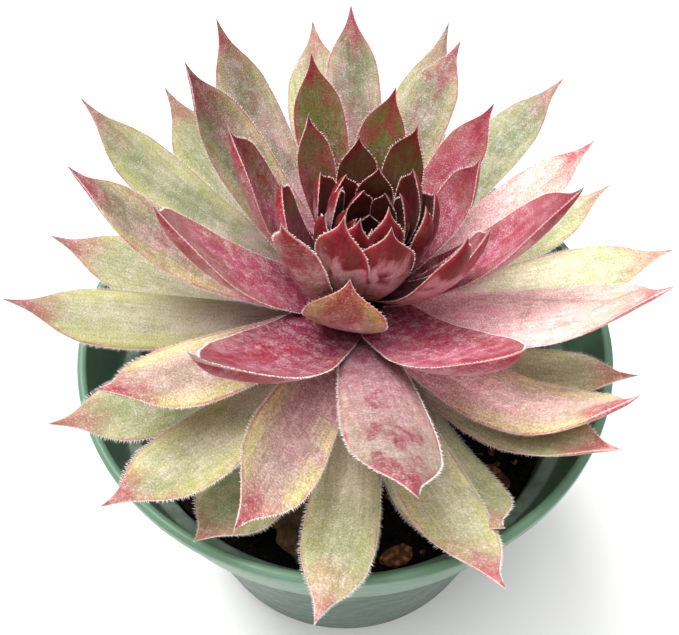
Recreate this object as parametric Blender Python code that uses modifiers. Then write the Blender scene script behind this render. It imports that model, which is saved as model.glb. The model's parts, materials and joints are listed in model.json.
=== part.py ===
"""Potted houseleek: a rosette of fleshy pointed leaves in a round plastic nursery pot.

Metres, +Z up. The origin is the centre of the pot's flat base, and the photo's camera looks along +Y.
"""
import math
import random

import bmesh
import bpy
from mathutils import Matrix, Vector, noise
from mathutils.bvhtree import BVHTree

# Driving dimensions of the pot
RIM_RADIUS = 0.0525
POT_HEIGHT = 0.078
BASE_RADIUS = 0.0385
COLLAR_DEPTH = 0.0165
COLLAR_TAPER = 0.0030
STEP_WIDTH = 0.0029
STEP_HEIGHT = 0.0022
RIM_BEAD = 0.0026
RIM_BEAD_STEP = 0.0004
RIM_WALL = 0.0018
WALL = 0.0015
LIP = 0.0008
FLOOR = 0.0024
CORNER = 0.0006
FOOT_EDGE = 0.0012
FOOT_RING_INNER = 0.0335
FOOT_PAD_RADIUS = 0.0140
FOOT_GROOVE = 0.0008
DRAIN_HOLES = 6
DRAIN_RADIUS = 0.0030
DRAIN_CIRCLE = 0.0240
POT_STEPS = 48

# Driving dimensions of the potting mix
GAP = 0.0003
SOIL_EDGE_HEIGHT = 0.0565
SOIL_MOUND = 0.0125
SOIL_LUMP = 0.0007
SOIL_LUMP_SIZE = 0.0042
SOIL_RINGS = 9
SOIL_STEPS = 40

# Driving dimensions of the stem, which stands in a plain hole in the mix and bends to the rosette
STEM_RADIUS = 0.0066
STEM_TOP_RADIUS = 0.0062
STEM_SEAT = 0.0140
STEM_HOLE_CLEARANCE = 0.0006
STEM_SIDES = 18

# A dried leaf lying on the mix at the front: where it starts and ends seen from above, and its size
WITHERED_START = (-0.0105, -0.0275)
WITHERED_END = (-0.0090, -0.0425)
WITHERED_WIDTH = 0.0070
WITHERED_THICKNESS = 0.0009
WITHERED_CURL = 0.0016
WITHERED_STATIONS = (0, .15, .35, .55, .75, .9, 1)
WITHERED_ROOT_WIDTH = 0.06
WITHERED_MARGIN_LOSS = 0.6

# Bark chips on the mix: place seen from above, length, width, and turn in degrees
CHIPS = (
    (.0095, -.0410, .0075, .0046, 20),
    (.0185, -.0350, .0062, .0050, 75),
    (.0300, -.0250, .0080, .0042, 140),
    (-.0215, -.0335, .0058, .0044, 110),
    (-.0345, -.0175, .0070, .0040, 50),
    (.0385, -.0060, .0056, .0040, 95),
    (.0330, .0200, .0072, .0048, 30),
    (-.0290, .0270, .0066, .0046, 150),
    (.0010, .0390, .0060, .0042, 10),
)
CHIP_THICKNESS = 0.0021
CHIP_CORNERS = 14
CHIP_CORNER_DRIFT = 0.8
CHIP_REACH = (0.78, 1.0)
CHIP_BULGE = (0.35, 1.0)
CHIP_TILT = 0.2
CHIP_SEED = 5
LYING_GAP = 0.0004

# The rosette sits a little off the pot's middle and leans to the front and the right, in degrees
CROWN = Vector((0.0023, -0.0030, POT_HEIGHT + 0.0051))
LEAN_FRONT = 6.0
LEAN_RIGHT = 4.0

# Leaves follow one spiral, counted from the lowest and oldest, a golden angle apart
LEAF_COUNT = 70
FIRST_AZIMUTH = 244.0
DIVERGENCE = 137.5
LEAF_PITCH = 0.0001
TIER_STEP = 0.0025

# Each tier is one colour of the rosette, grown round its own core: name, first leaf, core radius at
# its foot and top, and how far the core reaches below its first leaf
TIERS = (
    ("outer_leaves", 0, 0.0076, 0.0074, 0.0023),
    ("middle_leaves", 17, 0.0074, 0.0070, 0.0011),
    ("inner_leaves", 30, 0.0061, 0.0058, 0.0011),
    ("heart", 45, 0.0047, 0.0030, 0.0011),
)
CORE_ABOVE = 0.0009
CORE_SIDES = 20

# How the leaves change from the oldest (number 0) to the youngest: pairs of leaf number and value
RISE = ((0, 12), (20, 29), (40, 58), (55, 81), (70, 89))
LENGTH = ((0, .058), (20, .058), (32, .048), (40, .038), (50, .027), (60, .018), (70, .011))
WIDTH = (
    (0, .0115), (16, .0118), (24, .0125), (32, .0125), (40, .0105), (50, .0080), (60, .0060), (70, .0040)
)
THICKNESS = ((0, .0026), (30, .0024), (50, .0017), (70, .0011))
ROOT_INSET = ((0, .0055), (30, .0055), (44, .0044), (45, .0039), (55, .0026), (70, .0008))
ARCH = ((0, -.09), (40, -.10), (70, -.14))
HOOK = ((0, .02), (30, .03), (45, .04), (70, .03))
CHANNEL = ((0, .0), (16, .05), (30, .14), (50, .28), (70, .35))

# Half width and thickness along a leaf, from root to tip, as shares of the largest
OUTLINE = (
    (0, .60), (.25, .76), (.5, .94), (.65, 1), (.77, .90),
    (.84, .66), (.89, .38), (.925, .20), (.96, .09), (1, 0)
)
BULK = ((0, .76), (.3, 1), (.65, .90), (.85, .66), (.95, .30), (1, 0))

# Where single leaves depart from the rule. Another program made this table: a fit to points picked on
# the photo, a search that moved clashing leaves apart, and a script that rounded the result and wrote
# it here. Only leaves 29, 34, 37 and 42 were set again by hand. report.md says more.
# turn, lift and roll are degrees and are added, long and
# wide multiply, taper narrows the blade towards its tip by that share, and the others are added as
# shares of the length, or of the half width for channel.
HABITS = {
    0: {"turn": -2, "long": .83, "wide": 1.25, "arch": -.12},
    1: {"turn": 7, "lift": -2, "long": .93, "wide": .85},
    2: {"turn": 15, "long": .9, "sweep": -.02, "roll": -15},
    3: {"turn": -4, "lift": 8, "long": .82, "wide": 1.5, "arch": -.12, "channel": -.2},
    4: {"long": 1.14, "wide": 1.25, "arch": -.06, "sweep": .02, "channel": -.1},
    5: {"turn": 2, "long": .92, "roll": -15, "channel": -.1},
    6: {"turn": -11, "long": .79, "wide": .9, "arch": -.06, "hook": -.04, "channel": .1},
    7: {"turn": 8, "long": .93, "wide": 1.25, "arch": -.06, "sweep": -.02, "roll": -10, "channel": -.1},
    8: {"turn": -1, "lift": 4, "long": 1.02, "wide": .95, "sweep": .04, "roll": -10, "channel": -.1},
    9: {"turn": 7, "long": 1.03, "wide": .95, "arch": .04, "sweep": .04},
    10: {"turn": 14, "long": .97, "wide": .95, "arch": .06, "sweep": .02, "roll": -10, "channel": -.2},
    11: {"turn": -2, "lift": 6, "long": .87, "wide": .95, "arch": -.1, "hook": -.08, "channel": .2},
    12: {"turn": 7, "long": .98, "wide": 1.25, "arch": .04},
    13: {"turn": 1, "long": .98},
    14: {"turn": -7, "long": .89, "arch": .06},
    15: {"turn": 6},
    16: {"turn": 2, "wide": 1.05, "roll": -20, "channel": -.1},
    17: {"turn": 8, "lift": -4, "long": .92, "wide": .95, "arch": .08, "sweep": .04},
    18: {"turn": 20, "long": .84, "wide": 1.1, "arch": .04, "hook": .04, "roll": 10, "channel": -.1},
    19: {"turn": -18, "lift": 6, "long": .87, "wide": 1.25, "arch": -.12, "roll": -20, "channel": -.1},
    20: {"turn": 9, "long": .94, "wide": .95},
    21: {"long": .98, "arch": .06, "roll": -40, "channel": .1},
    22: {"turn": -2, "long": .82, "wide": .9, "arch": .04, "roll": -20},
    23: {"turn": 12, "lift": 4, "long": .92, "wide": 1.1, "arch": -.04, "hook": -.04, "roll": 15},
    25: {"turn": 13, "lift": -4, "long": .96, "wide": .85, "arch": .1},
    27: {"turn": -18, "long": .97, "wide": 1.45, "roll": -30, "channel": -.1},
    28: {"turn": 7, "long": .91, "wide": 1.15, "roll": 25, "channel": .1},
    29: {"turn": 1, "long": 1.22, "wide": 1.05, "arch": .08, "roll": -10, "channel": -.3, "taper": .15},
    30: {"lift": -2, "long": .73, "wide": .75, "arch": .06, "roll": -15},
    31: {"turn": 12, "lift": 6, "long": .88, "wide": 1.25, "roll": 20},
    33: {"turn": 9, "long": .82, "wide": .8},
    34: {"lift": -2, "long": 1.23, "wide": 1.45, "sweep": .01, "roll": 12, "hook": -.02, "taper": .95},
    35: {"turn": -21, "lift": 2, "long": .92, "wide": 1.1, "hook": -.04, "roll": -25, "channel": .1},
    36: {"turn": 11, "lift": 8, "long": .85, "wide": 1.1, "hook": -.04, "roll": 25, "channel": .1},
    37: {"turn": 5, "lift": -4, "long": 1.15, "wide": 1.55, "roll": -8, "taper": .5},
    38: {"turn": 12, "long": .8, "wide": .8, "sweep": .04},
    39: {"turn": 22, "lift": 10, "wide": .75, "arch": .04, "hook": -.06, "roll": 20},
    40: {"turn": -7, "lift": 6, "long": .79, "wide": .85, "hook": -.04},
    41: {"turn": 2, "long": .8, "wide": .7},
    42: {"turn": -3, "lift": 4, "long": .74, "wide": 1.3, "arch": -.06, "roll": 8, "channel": -.3},
    43: {"turn": -12, "long": .85, "wide": .9, "roll": -10},
    44: {"turn": 7, "lift": 6, "long": .85, "wide": 1.15},
    46: {"turn": 12, "long": .75, "wide": .8},
    47: {"turn": 20, "lift": 4, "long": 1.08},
    48: {"turn": 2, "lift": 6, "long": .78, "wide": 1.15},
    49: {"turn": 6, "long": .76, "arch": .04, "roll": 15},
    50: {"turn": -3, "long": 1.1, "wide": 1.2},
    51: {"long": 1.1, "arch": .06, "roll": -10},
    52: {"turn": 3, "long": .79},
    54: {"turn": 24, "long": .88},
    56: {"turn": 6, "long": 1.12},
    58: {"turn": -14, "long": 1.24},
    59: {"turn": 8, "long": 1.15},
    60: {"turn": -26},
    61: {"turn": 26, "long": 1.15},
    62: {"turn": -13, "long": 1.08},
    64: {"turn": 12, "long": 1.19},
}

# Leaves that this plant has lost, or that are too stunted to see
LOST = (24, 26, 32)

FULL_STATIONS = (0, .2, .4, .56, .70, .80, .88, .94, 1)
SMALL_STATIONS = (0, .3, .6, .8, .92, 1)
FULL_RING = ((-1, 1), (-.5, 1), (0, 1), (.5, 1), (1, 1), (.5, -1), (0, -1), (-.5, -1))
SMALL_RING = ((-1, 1), (0, 1), (1, 1), (.6, -1), (0, -1), (-.6, -1))

COLLECTION_NAME = "potted_houseleek"


def clear_scene():
    for item in list(bpy.data.objects):
        bpy.data.objects.remove(item, do_unlink=True)


def linear(hex_colour):
    """Linear RGBA of an sRGB hex colour."""
    channels = [int(hex_colour[i:i + 2], 16) / 255 for i in (0, 2, 4)]
    return [c / 12.92 if c <= 0.04045 else ((c + 0.055) / 1.055) ** 2.4 for c in channels] + [1.0]


def material(name, hex_colour, roughness):
    made = bpy.data.materials.new(name)
    made.use_nodes = True
    shader = made.node_tree.nodes["Principled BSDF"]
    shader.inputs["Base Color"].default_value = linear(hex_colour)
    shader.inputs["Roughness"].default_value = roughness
    shader.inputs["Metallic"].default_value = 0.0
    return made


def add_object(name, mesh, surface, home):
    made = bpy.data.objects.new(name, mesh)
    mesh.materials.clear()
    mesh.materials.append(surface)
    home.objects.link(made)
    return made


def applied(item):
    """Freeze an object's modifiers into its mesh."""
    graph = bpy.context.evaluated_depsgraph_get()
    mesh = bpy.data.meshes.new_from_object(item.evaluated_get(graph))
    item.modifiers.clear()
    old = item.data
    item.data = mesh
    bpy.data.meshes.remove(old)


def mix(points, place):
    """Straight-line reading of a short table of pairs."""
    for (x0, y0), (x1, y1) in zip(points, points[1:]):
        if place <= x1:
            return y0 + (y1 - y0) * (place - x0) / (x1 - x0)
    return points[-1][1]


def flow(points, place):
    """Smooth reading of a short table of pairs, with no overshoot."""
    last = len(points) - 1
    slopes = [(b[1] - a[1]) / (b[0] - a[0]) for a, b in zip(points, points[1:])]
    i = next((k for k in range(last) if place <= points[k + 1][0]), last - 1)

    def tangent(k):
        if k in (0, last):
            return slopes[0 if k == 0 else -1]
        before, after = slopes[k - 1], slopes[k]
        return 0.0 if before * after <= 0 else 2 * before * after / (before + after)

    (x0, y0), (x1, y1) = points[i], points[i + 1]
    span = x1 - x0
    s = (place - x0) / span
    return (
        (2 * s ** 3 - 3 * s ** 2 + 1) * y0
        + (s ** 3 - 2 * s ** 2 + s) * span * tangent(i)
        + (3 * s ** 2 - 2 * s ** 3) * y1
        + (s ** 3 - s ** 2) * span * tangent(i + 1)
    )


def turned(name, profile, steps, surface, home):
    """A closed profile of (radius, height) turned round the Z axis."""
    mesh = bpy.data.meshes.new(name)
    shape = bmesh.new()
    points = [shape.verts.new((radius, 0.0, height)) for radius, height in profile]
    for a, b in zip(points, points[1:]):
        shape.edges.new((a, b))
    if profile[0][0] > 0:
        shape.edges.new((points[-1], points[0]))
    shape.to_mesh(mesh)
    shape.free()
    made = add_object(name, mesh, surface, home)
    screw = made.modifiers.new("turn", "SCREW")
    screw.steps = steps
    screw.render_steps = steps
    screw.use_merge_vertices = True
    screw.merge_threshold = 0.00001
    screw.use_smooth_shade = True
    return made


def pot_radius(height):
    """Outer radius of the pot's body below the step."""
    body_top = POT_HEIGHT - COLLAR_DEPTH
    top_radius = RIM_RADIUS - COLLAR_TAPER - STEP_WIDTH
    return BASE_RADIUS + (top_radius - BASE_RADIUS) * height / body_top


def pot_profile():
    """The moulded shell, down the outside, across the base and up the inside."""
    step_top = POT_HEIGHT - COLLAR_DEPTH
    step_low = step_top - STEP_HEIGHT
    collar_low = RIM_RADIUS - COLLAR_TAPER
    bead_low = POT_HEIGHT - RIM_BEAD
    ledge = step_top + CORNER
    inner_rim = RIM_RADIUS - RIM_WALL
    inner_floor = pot_radius(FLOOR) - WALL
    inner_ledge = pot_radius(ledge) - WALL
    inner_collar = collar_low - WALL
    return [
        (RIM_RADIUS - LIP, POT_HEIGHT),
        (RIM_RADIUS - 0.3 * LIP, POT_HEIGHT - 0.3 * LIP),
        (RIM_RADIUS, POT_HEIGHT - LIP),
        (RIM_RADIUS, bead_low),
        (RIM_RADIUS - RIM_BEAD_STEP, bead_low - RIM_BEAD_STEP),
        (collar_low, step_top),
        (collar_low - CORNER, step_top - CORNER),
        (pot_radius(step_low), step_low),
        (pot_radius(FOOT_EDGE), FOOT_EDGE),
        (BASE_RADIUS - 0.3 * FOOT_EDGE, 0.3 * FOOT_EDGE),
        (BASE_RADIUS - FOOT_EDGE, 0.0),
        (FOOT_RING_INNER, 0.0),
        (FOOT_RING_INNER - CORNER, FOOT_GROOVE),
        (FOOT_PAD_RADIUS + CORNER, FOOT_GROOVE),
        (FOOT_PAD_RADIUS, 0.0),
        (0.0, 0.0),
        (0.0, FLOOR),
        (inner_floor - CORNER, FLOOR),
        (inner_floor, FLOOR + CORNER),
        (inner_ledge, ledge - 2 * CORNER),
        (inner_ledge + CORNER, ledge - 0.5 * CORNER),
        (inner_collar - CORNER, ledge + 0.5 * CORNER),
        (inner_collar, ledge + 1.5 * CORNER),
        (inner_rim, POT_HEIGHT - LIP),
        (inner_rim + 0.3 * LIP, POT_HEIGHT - 0.3 * LIP),
        (inner_rim + LIP, POT_HEIGHT),
    ]


def make_pot(home, cutters):
    """Sage-green injection-moulded pot with a deep collar and drain holes."""
    surface = material("pot_plastic", "7C9A84", 0.42)
    pot = turned("pot", pot_profile(), POT_STEPS, surface, home)
    for hole in range(DRAIN_HOLES):
        angle = math.tau * (hole + 0.5) / DRAIN_HOLES
        shape = bmesh.new()
        bmesh.ops.create_cone(
            shape, cap_ends=True, segments=12, radius1=DRAIN_RADIUS, radius2=DRAIN_RADIUS, depth=4 * FLOOR
        )
        mesh = bpy.data.meshes.new(f"drain_{hole + 1}")
        shape.to_mesh(mesh)
        shape.free()
        cutter = bpy.data.objects.new(f"drain_{hole + 1}", mesh)
        cutter.location = (DRAIN_CIRCLE * math.cos(angle), DRAIN_CIRCLE * math.sin(angle), 0.0)
        cutter.hide_render = True
        cutter.display_type = "WIRE"
        cutters.objects.link(cutter)
    cut = pot.modifiers.new("drains", "BOOLEAN")
    cut.operation = "DIFFERENCE"
    cut.operand_type = "COLLECTION"
    cut.collection = cutters
    cut.solver = "EXACT"
    return pot


def soil_height(radius):
    """Height of the potting mix, which mounds up towards the stem."""
    inner = pot_radius(SOIL_EDGE_HEIGHT) - WALL
    rise = 0.5 + 0.5 * math.cos(math.pi * min(1.0, radius / inner))
    return SOIL_EDGE_HEIGHT + SOIL_MOUND * rise ** 1.3


def lump(x, y):
    """Coarse unevenness of the mix at a point, the same wherever it is asked for."""
    return SOIL_LUMP * noise.noise(Vector((x / SOIL_LUMP_SIZE, y / SOIL_LUMP_SIZE, 0.0)))


def stem_seat():
    """Height of the floor of the stem's hole."""
    return soil_height(STEM_RADIUS + STEM_HOLE_CLEARANCE) - STEM_SEAT


def make_soil(home):
    """Dark potting mix with a plain hole for the stem."""
    surface = material("potting_mix", "2B211B", 0.95)
    hole = STEM_RADIUS + STEM_HOLE_CLEARANCE
    seat = stem_seat()
    edge = pot_radius(SOIL_EDGE_HEIGHT) - WALL - GAP
    low = FLOOR + GAP
    top = [hole + (edge - hole) * (k / SOIL_RINGS) ** 0.85 for k in range(SOIL_RINGS, -1, -1)]
    wall = pot_radius(FLOOR) - WALL
    profile = [(0.0, low), (wall - 4 * GAP, low), (wall - GAP, low + 3 * GAP)]
    profile += [(radius, soil_height(radius)) for radius in top]
    profile += [(hole, seat), (0.0, seat)]
    soil = turned("soil", profile, SOIL_STEPS, surface, home)
    applied(soil)
    shape = bmesh.new()
    shape.from_mesh(soil.data)
    for vert in shape.verts:
        radius = vert.co.xy.length
        if vert.co.z > SOIL_EDGE_HEIGHT and hole + SOIL_LUMP < radius < edge - SOIL_LUMP:
            vert.co.z += lump(vert.co.x, vert.co.y)
    bmesh.ops.triangulate(shape, faces=shape.faces)
    bmesh.ops.recalc_face_normals(shape, faces=shape.faces)
    shape.to_mesh(soil.data)
    shape.free()
    return soil


def tier_of(number):
    return sum(number >= tier[1] for tier in TIERS) - 1


def leaf(number):
    """Pose and size of one leaf in the rosette's own frame."""
    habit = HABITS.get(number, {})
    return {
        "azimuth": math.radians(FIRST_AZIMUTH + DIVERGENCE * number + habit.get("turn", 0)),
        "rise": math.radians(mix(RISE, number) + habit.get("lift", 0)),
        "length": mix(LENGTH, number) * habit.get("long", 1),
        "width": mix(WIDTH, number) * habit.get("wide", 1),
        "thickness": mix(THICKNESS, number),
        "inset": mix(ROOT_INSET, number),
        "height": LEAF_PITCH * number + TIER_STEP * tier_of(number),
        "arch": mix(ARCH, number) + habit.get("arch", 0),
        "sweep": habit.get("sweep", 0),
        "taper": habit.get("taper", 0),
        "hook": mix(HOOK, number) + habit.get("hook", 0),
        "roll": math.radians(habit.get("roll", 0)),
        "channel": mix(CHANNEL, number) + habit.get("channel", 0),
    }


def leaf_axes(form):
    """Along, sideways and upwards directions of a leaf's chord."""
    turn, rise = form["azimuth"], form["rise"]
    along = Vector((math.cos(rise) * math.cos(turn), math.cos(rise) * math.sin(turn), math.sin(rise)))
    side = Vector((-math.sin(turn), math.cos(turn), 0.0))
    return along, side, along.cross(side)


def midrib(form, place):
    """Point on the leaf's middle line, 0 at the root and 1 at the tip."""
    along, side, up = leaf_axes(form)
    turn = form["azimuth"]
    root = Vector((form["inset"] * math.cos(turn), form["inset"] * math.sin(turn), form["height"]))
    tip = max(0.0, (place - 0.7) / 0.3)
    lift = 4 * form["arch"] * place * (1 - place) + form["hook"] * (tip ** 2 - place ** 3)
    bend = 4 * form["sweep"] * place * (1 - place)
    return root + form["length"] * (place * along + lift * up + bend * side)


def leaf_point(form, place, across, face):
    """Point on a leaf's skin: across runs from -1 to 1, face is 1 on top and -1 below."""
    step = 0.001
    ahead = midrib(form, min(1, place + step)) - midrib(form, max(0, place - step))
    ahead.normalize()
    _, side, _ = leaf_axes(form)
    side = (side - ahead * side.dot(ahead)).normalized()
    up = ahead.cross(side)
    twist = form["roll"] * place
    level = side * math.cos(twist) + up * math.sin(twist)
    normal = up * math.cos(twist) - side * math.sin(twist)
    half = 0.5 * form["width"] * max(0.0, flow(OUTLINE, place)) * (1 - form["taper"] * place ** 3)
    bulk = form["thickness"] * mix(BULK, place) * (1 - across ** 2)
    share = 0.25 if face > 0 else -0.75
    dip = form["channel"] * (0.6 + 0.6 * place) * half * across ** 2
    return midrib(form, place) + level * (half * across) + normal * (dip + share * bulk)


def rosette_matrix():
    """From the rosette's own frame to the pot's."""
    lean = Matrix.Rotation(math.radians(LEAN_RIGHT), 4, "Y")
    lean @= Matrix.Rotation(math.radians(LEAN_FRONT), 4, "X")
    return Matrix.Translation(CROWN) @ lean


def tube_mesh(name, rings):
    """A closed mesh from a grid rolled into a tube: one row of points per ring."""
    rows, around = len(rings), len(rings[0])
    shape = bmesh.new()
    bmesh.ops.create_grid(shape, x_segments=rows - 1, y_segments=around, size=0.5)
    for vert in shape.verts:
        row = round((vert.co.x + 0.5) * (rows - 1))
        place = round((vert.co.y + 0.5) * around) % around
        vert.co = rings[row][place]
    bmesh.ops.remove_doubles(shape, verts=shape.verts, dist=0.00001)
    bmesh.ops.holes_fill(shape, edges=[edge for edge in shape.edges if edge.is_boundary])
    bmesh.ops.triangulate(shape, faces=shape.faces)
    bmesh.ops.recalc_face_normals(shape, faces=shape.faces)
    mesh = bpy.data.meshes.new(name)
    shape.to_mesh(mesh)
    shape.free()
    return mesh


def leaf_mesh(number, stations, section):
    """One closed leaf that runs to a point."""
    form = leaf(number)
    rings = [[leaf_point(form, place, across, face) for across, face in section] for place in stations]
    return tube_mesh(f"leaf_{number}", rings)


def core_reach(tier):
    """Lowest and highest point of a tier's core along the rosette's axis, and its leaves."""
    _, first, _, _, below = TIERS[tier]
    last = TIERS[tier + 1][1] - 1 if tier + 1 < len(TIERS) else LEAF_COUNT - 1
    low = LEAF_PITCH * first + TIER_STEP * tier - below
    high = LEAF_PITCH * last + TIER_STEP * tier + CORE_ABOVE
    return low, high, range(first, last + 1)


def fill_cavities(item):
    """Make solid the small hollows that leaves close off between their roots."""
    shape = bmesh.new()
    shape.from_mesh(item.data)
    shape.faces.ensure_lookup_table()
    waiting, hollow, solid = set(shape.faces), [], 0
    while waiting:
        island, edge_of = [], [waiting.pop()]
        while edge_of:
            face = edge_of.pop()
            island.append(face)
            for other in {near for edge in face.edges for near in edge.link_faces} & waiting:
                waiting.discard(other)
                edge_of.append(other)
        volume = sum(face.calc_center_median().dot(face.normal) * face.calc_area() for face in island)
        if volume > 0:
            solid += 1
        else:
            hollow += island
    if solid != 1:
        raise RuntimeError(f"{item.name} is in {solid} pieces")
    bmesh.ops.delete(shape, geom=hollow, context="FACES")
    shape.to_mesh(item.data)
    shape.free()


def make_tier(tier, surface, home, cutters):
    """One colour of leaves, grown together with their piece of the stem."""
    name, _, foot_radius, top_radius, _ = TIERS[tier]
    low, high, numbers = core_reach(tier)
    shape = bmesh.new()
    bmesh.ops.create_cone(
        shape, cap_ends=True, segments=CORE_SIDES, radius1=foot_radius, radius2=top_radius,
        depth=high - low, matrix=Matrix.Translation((0, 0, (low + high) / 2)),
    )
    bmesh.ops.triangulate(shape, faces=shape.faces)
    mesh = bpy.data.meshes.new(name)
    shape.to_mesh(mesh)
    shape.free()
    mesh.transform(rosette_matrix())
    core = add_object(name, mesh, surface, home)
    small = tier == len(TIERS) - 1
    stations, section = (SMALL_STATIONS, SMALL_RING) if small else (FULL_STATIONS, FULL_RING)
    bunch = bpy.data.collections.new(f"{name}_bunch")
    cutters.children.link(bunch)
    for number in numbers:
        if number in LOST:
            continue
        blade = bpy.data.objects.new(f"leaf_{number}", leaf_mesh(number, stations, section))
        blade.data.transform(rosette_matrix())
        bunch.objects.link(blade)
    join = core.modifiers.new("grow_together", "BOOLEAN")
    join.operation = "UNION"
    join.operand_type = "COLLECTION"
    join.collection = bunch
    join.solver = "EXACT"
    join.use_self = True
    applied(core)
    fill_cavities(core)
    for blade in list(bunch.objects):
        bpy.data.objects.remove(blade, do_unlink=True)
    bpy.data.collections.remove(bunch)
    core.data.shade_smooth()
    core.data.set_sharp_from_angle(angle=math.radians(50))
    return core


def make_stem(home):
    """Short woody stem that stands upright in its hole and bends over to the rosette's core."""
    lean = rosette_matrix()
    top = lean @ Vector((0, 0, core_reach(0)[0] - GAP))
    leaned = lean.to_3x3() @ Vector((0, 0, 1))
    low = stem_seat() + GAP
    bend = soil_height(0.0) + GAP
    angles = [math.tau * k / STEM_SIDES for k in range(STEM_SIDES)]
    rings = []
    for height, radius in ((low, STEM_RADIUS - 4 * GAP), (low + 4 * GAP, STEM_RADIUS), (bend, STEM_RADIUS)):
        rings.append([Vector((radius * math.cos(a), radius * math.sin(a), height)) for a in angles])
    for share in (0.25, 0.5, 0.75, 1.0):
        ease = share * share * (3 - 2 * share)
        centre = Vector((top.x * ease, top.y * ease, bend + (top.z - bend) * share))
        axis = Vector((0, 0, 1)).lerp(leaned, ease).normalized()
        east = (Vector((1, 0, 0)) - axis * axis.x).normalized()
        north = axis.cross(east)
        radius = STEM_RADIUS + (STEM_TOP_RADIUS - STEM_RADIUS) * share
        rings.append([centre + radius * (math.cos(a) * east + math.sin(a) * north) for a in angles])
    stem = add_object("stem", tube_mesh("stem", rings), material("stem_bark", "6B5140", 0.85), home)
    stem.data.shade_smooth()
    stem.data.set_sharp_from_angle(angle=math.radians(40))
    return stem


def ground_finder(soil):
    """A function that reads the height of the mix under a point."""
    skin = BVHTree.FromPolygons(
        [vert.co for vert in soil.data.vertices], [list(face.vertices) for face in soil.data.polygons]
    )
    return lambda x, y: skin.ray_cast(Vector((x, y, POT_HEIGHT)), Vector((0, 0, -1)))[0].z


def make_withered_leaf(ground, home):
    """A thin dried leaf on the mix, its margins curled up and its tip lifted."""
    start, end = Vector((*WITHERED_START, 0)), Vector((*WITHERED_END, 0))
    side = (end - start).cross(Vector((0, 0, 1))).normalized()
    rings = []
    for place in WITHERED_STATIONS:
        half = 0.5 * WITHERED_WIDTH * max(WITHERED_ROOT_WIDTH, flow(OUTLINE, place))
        spots = [start.lerp(end, place) + side * (half * across) for across, _ in FULL_RING]
        rest = max(ground(spot.x, spot.y) for spot in spots) + LYING_GAP + 0.5 * WITHERED_THICKNESS
        for spot, (across, face) in zip(spots, FULL_RING):
            curl = WITHERED_CURL * (across ** 2 * (0.4 + place) + 0.6 * place ** 3)
            skin = (0.5 if face > 0 else -0.5) * WITHERED_THICKNESS * (1 - WITHERED_MARGIN_LOSS * across ** 2)
            spot.z = rest + curl + skin
        rings.append(spots)
    surface = material("dried_leaf", "9A7B55", 0.8)
    dried = add_object("withered_leaf", tube_mesh("withered_leaf", rings), surface, home)
    dried.data.shade_smooth()
    dried.data.set_sharp_from_angle(angle=math.radians(50))
    return dried


def make_chips(ground, home):
    """Angular bark chips that lie on the mix, each the hull of a few scattered points."""
    surface = material("bark", "7A4A2A", 0.9)
    scatter = random.Random(CHIP_SEED)
    for number, (x, y, length, width, turn) in enumerate(CHIPS, 1):
        shape = bmesh.new()
        for corner in range(CHIP_CORNERS):
            angle = math.tau * (corner + scatter.uniform(0, CHIP_CORNER_DRIFT)) / CHIP_CORNERS
            reach = scatter.uniform(*CHIP_REACH)
            height = 0.5 * CHIP_THICKNESS * scatter.uniform(*CHIP_BULGE) * (-1 if corner % 2 else 1)
            spot = (0.5 * length * reach * math.cos(angle), 0.5 * width * reach * math.sin(angle), height)
            shape.verts.new(spot)
        bmesh.ops.convex_hull(shape, input=shape.verts)
        bmesh.ops.delete(shape, geom=[vert for vert in shape.verts if not vert.link_faces], context="VERTS")
        tilt = Matrix.Rotation(scatter.uniform(-CHIP_TILT, CHIP_TILT), 4, "X")
        shape.transform(Matrix.Rotation(math.radians(turn), 4, "Z") @ tilt)
        rest = max(ground(x + share * vert.co.x, y + share * vert.co.y) - share * vert.co.z
                   for vert in shape.verts if vert.co.z < 0 for share in (1, 0.5))
        shape.transform(Matrix.Translation((x, y, rest + LYING_GAP)))
        if shape.calc_volume(signed=True) < 0:
            bmesh.ops.reverse_faces(shape, faces=shape.faces)
        mesh = bpy.data.meshes.new(f"bark_chip_{number}")
        shape.to_mesh(mesh)
        shape.free()
        add_object(f"bark_chip_{number}", mesh, surface, home)


def main():
    clear_scene()
    home = bpy.data.collections.new(COLLECTION_NAME)
    cutters = bpy.data.collections.new("cutters")
    bpy.context.scene.collection.children.link(home)
    bpy.context.scene.collection.children.link(cutters)
    make_pot(home, cutters)
    ground = ground_finder(make_soil(home))
    tints = ("B7BD92", "B98E8C", "A24A56", "7A2430")
    for tier, tint in enumerate(tints):
        make_tier(tier, material(f"{TIERS[tier][0]}_skin", tint, 0.5), home, cutters)
    make_stem(home)
    make_withered_leaf(ground, home)
    make_chips(ground, home)


main()
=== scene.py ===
"""Looks of a potted houseleek: finer leaves with hairs and colour, potting mix, bark and a moulded pot.

Laid out as a Blender add-on and run as a script. Metres, +Z up, the photo's camera looks along +Y.
"""

import json
import math
import random

import bmesh
import bpy
from mathutils import Matrix, Vector, noise

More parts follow.
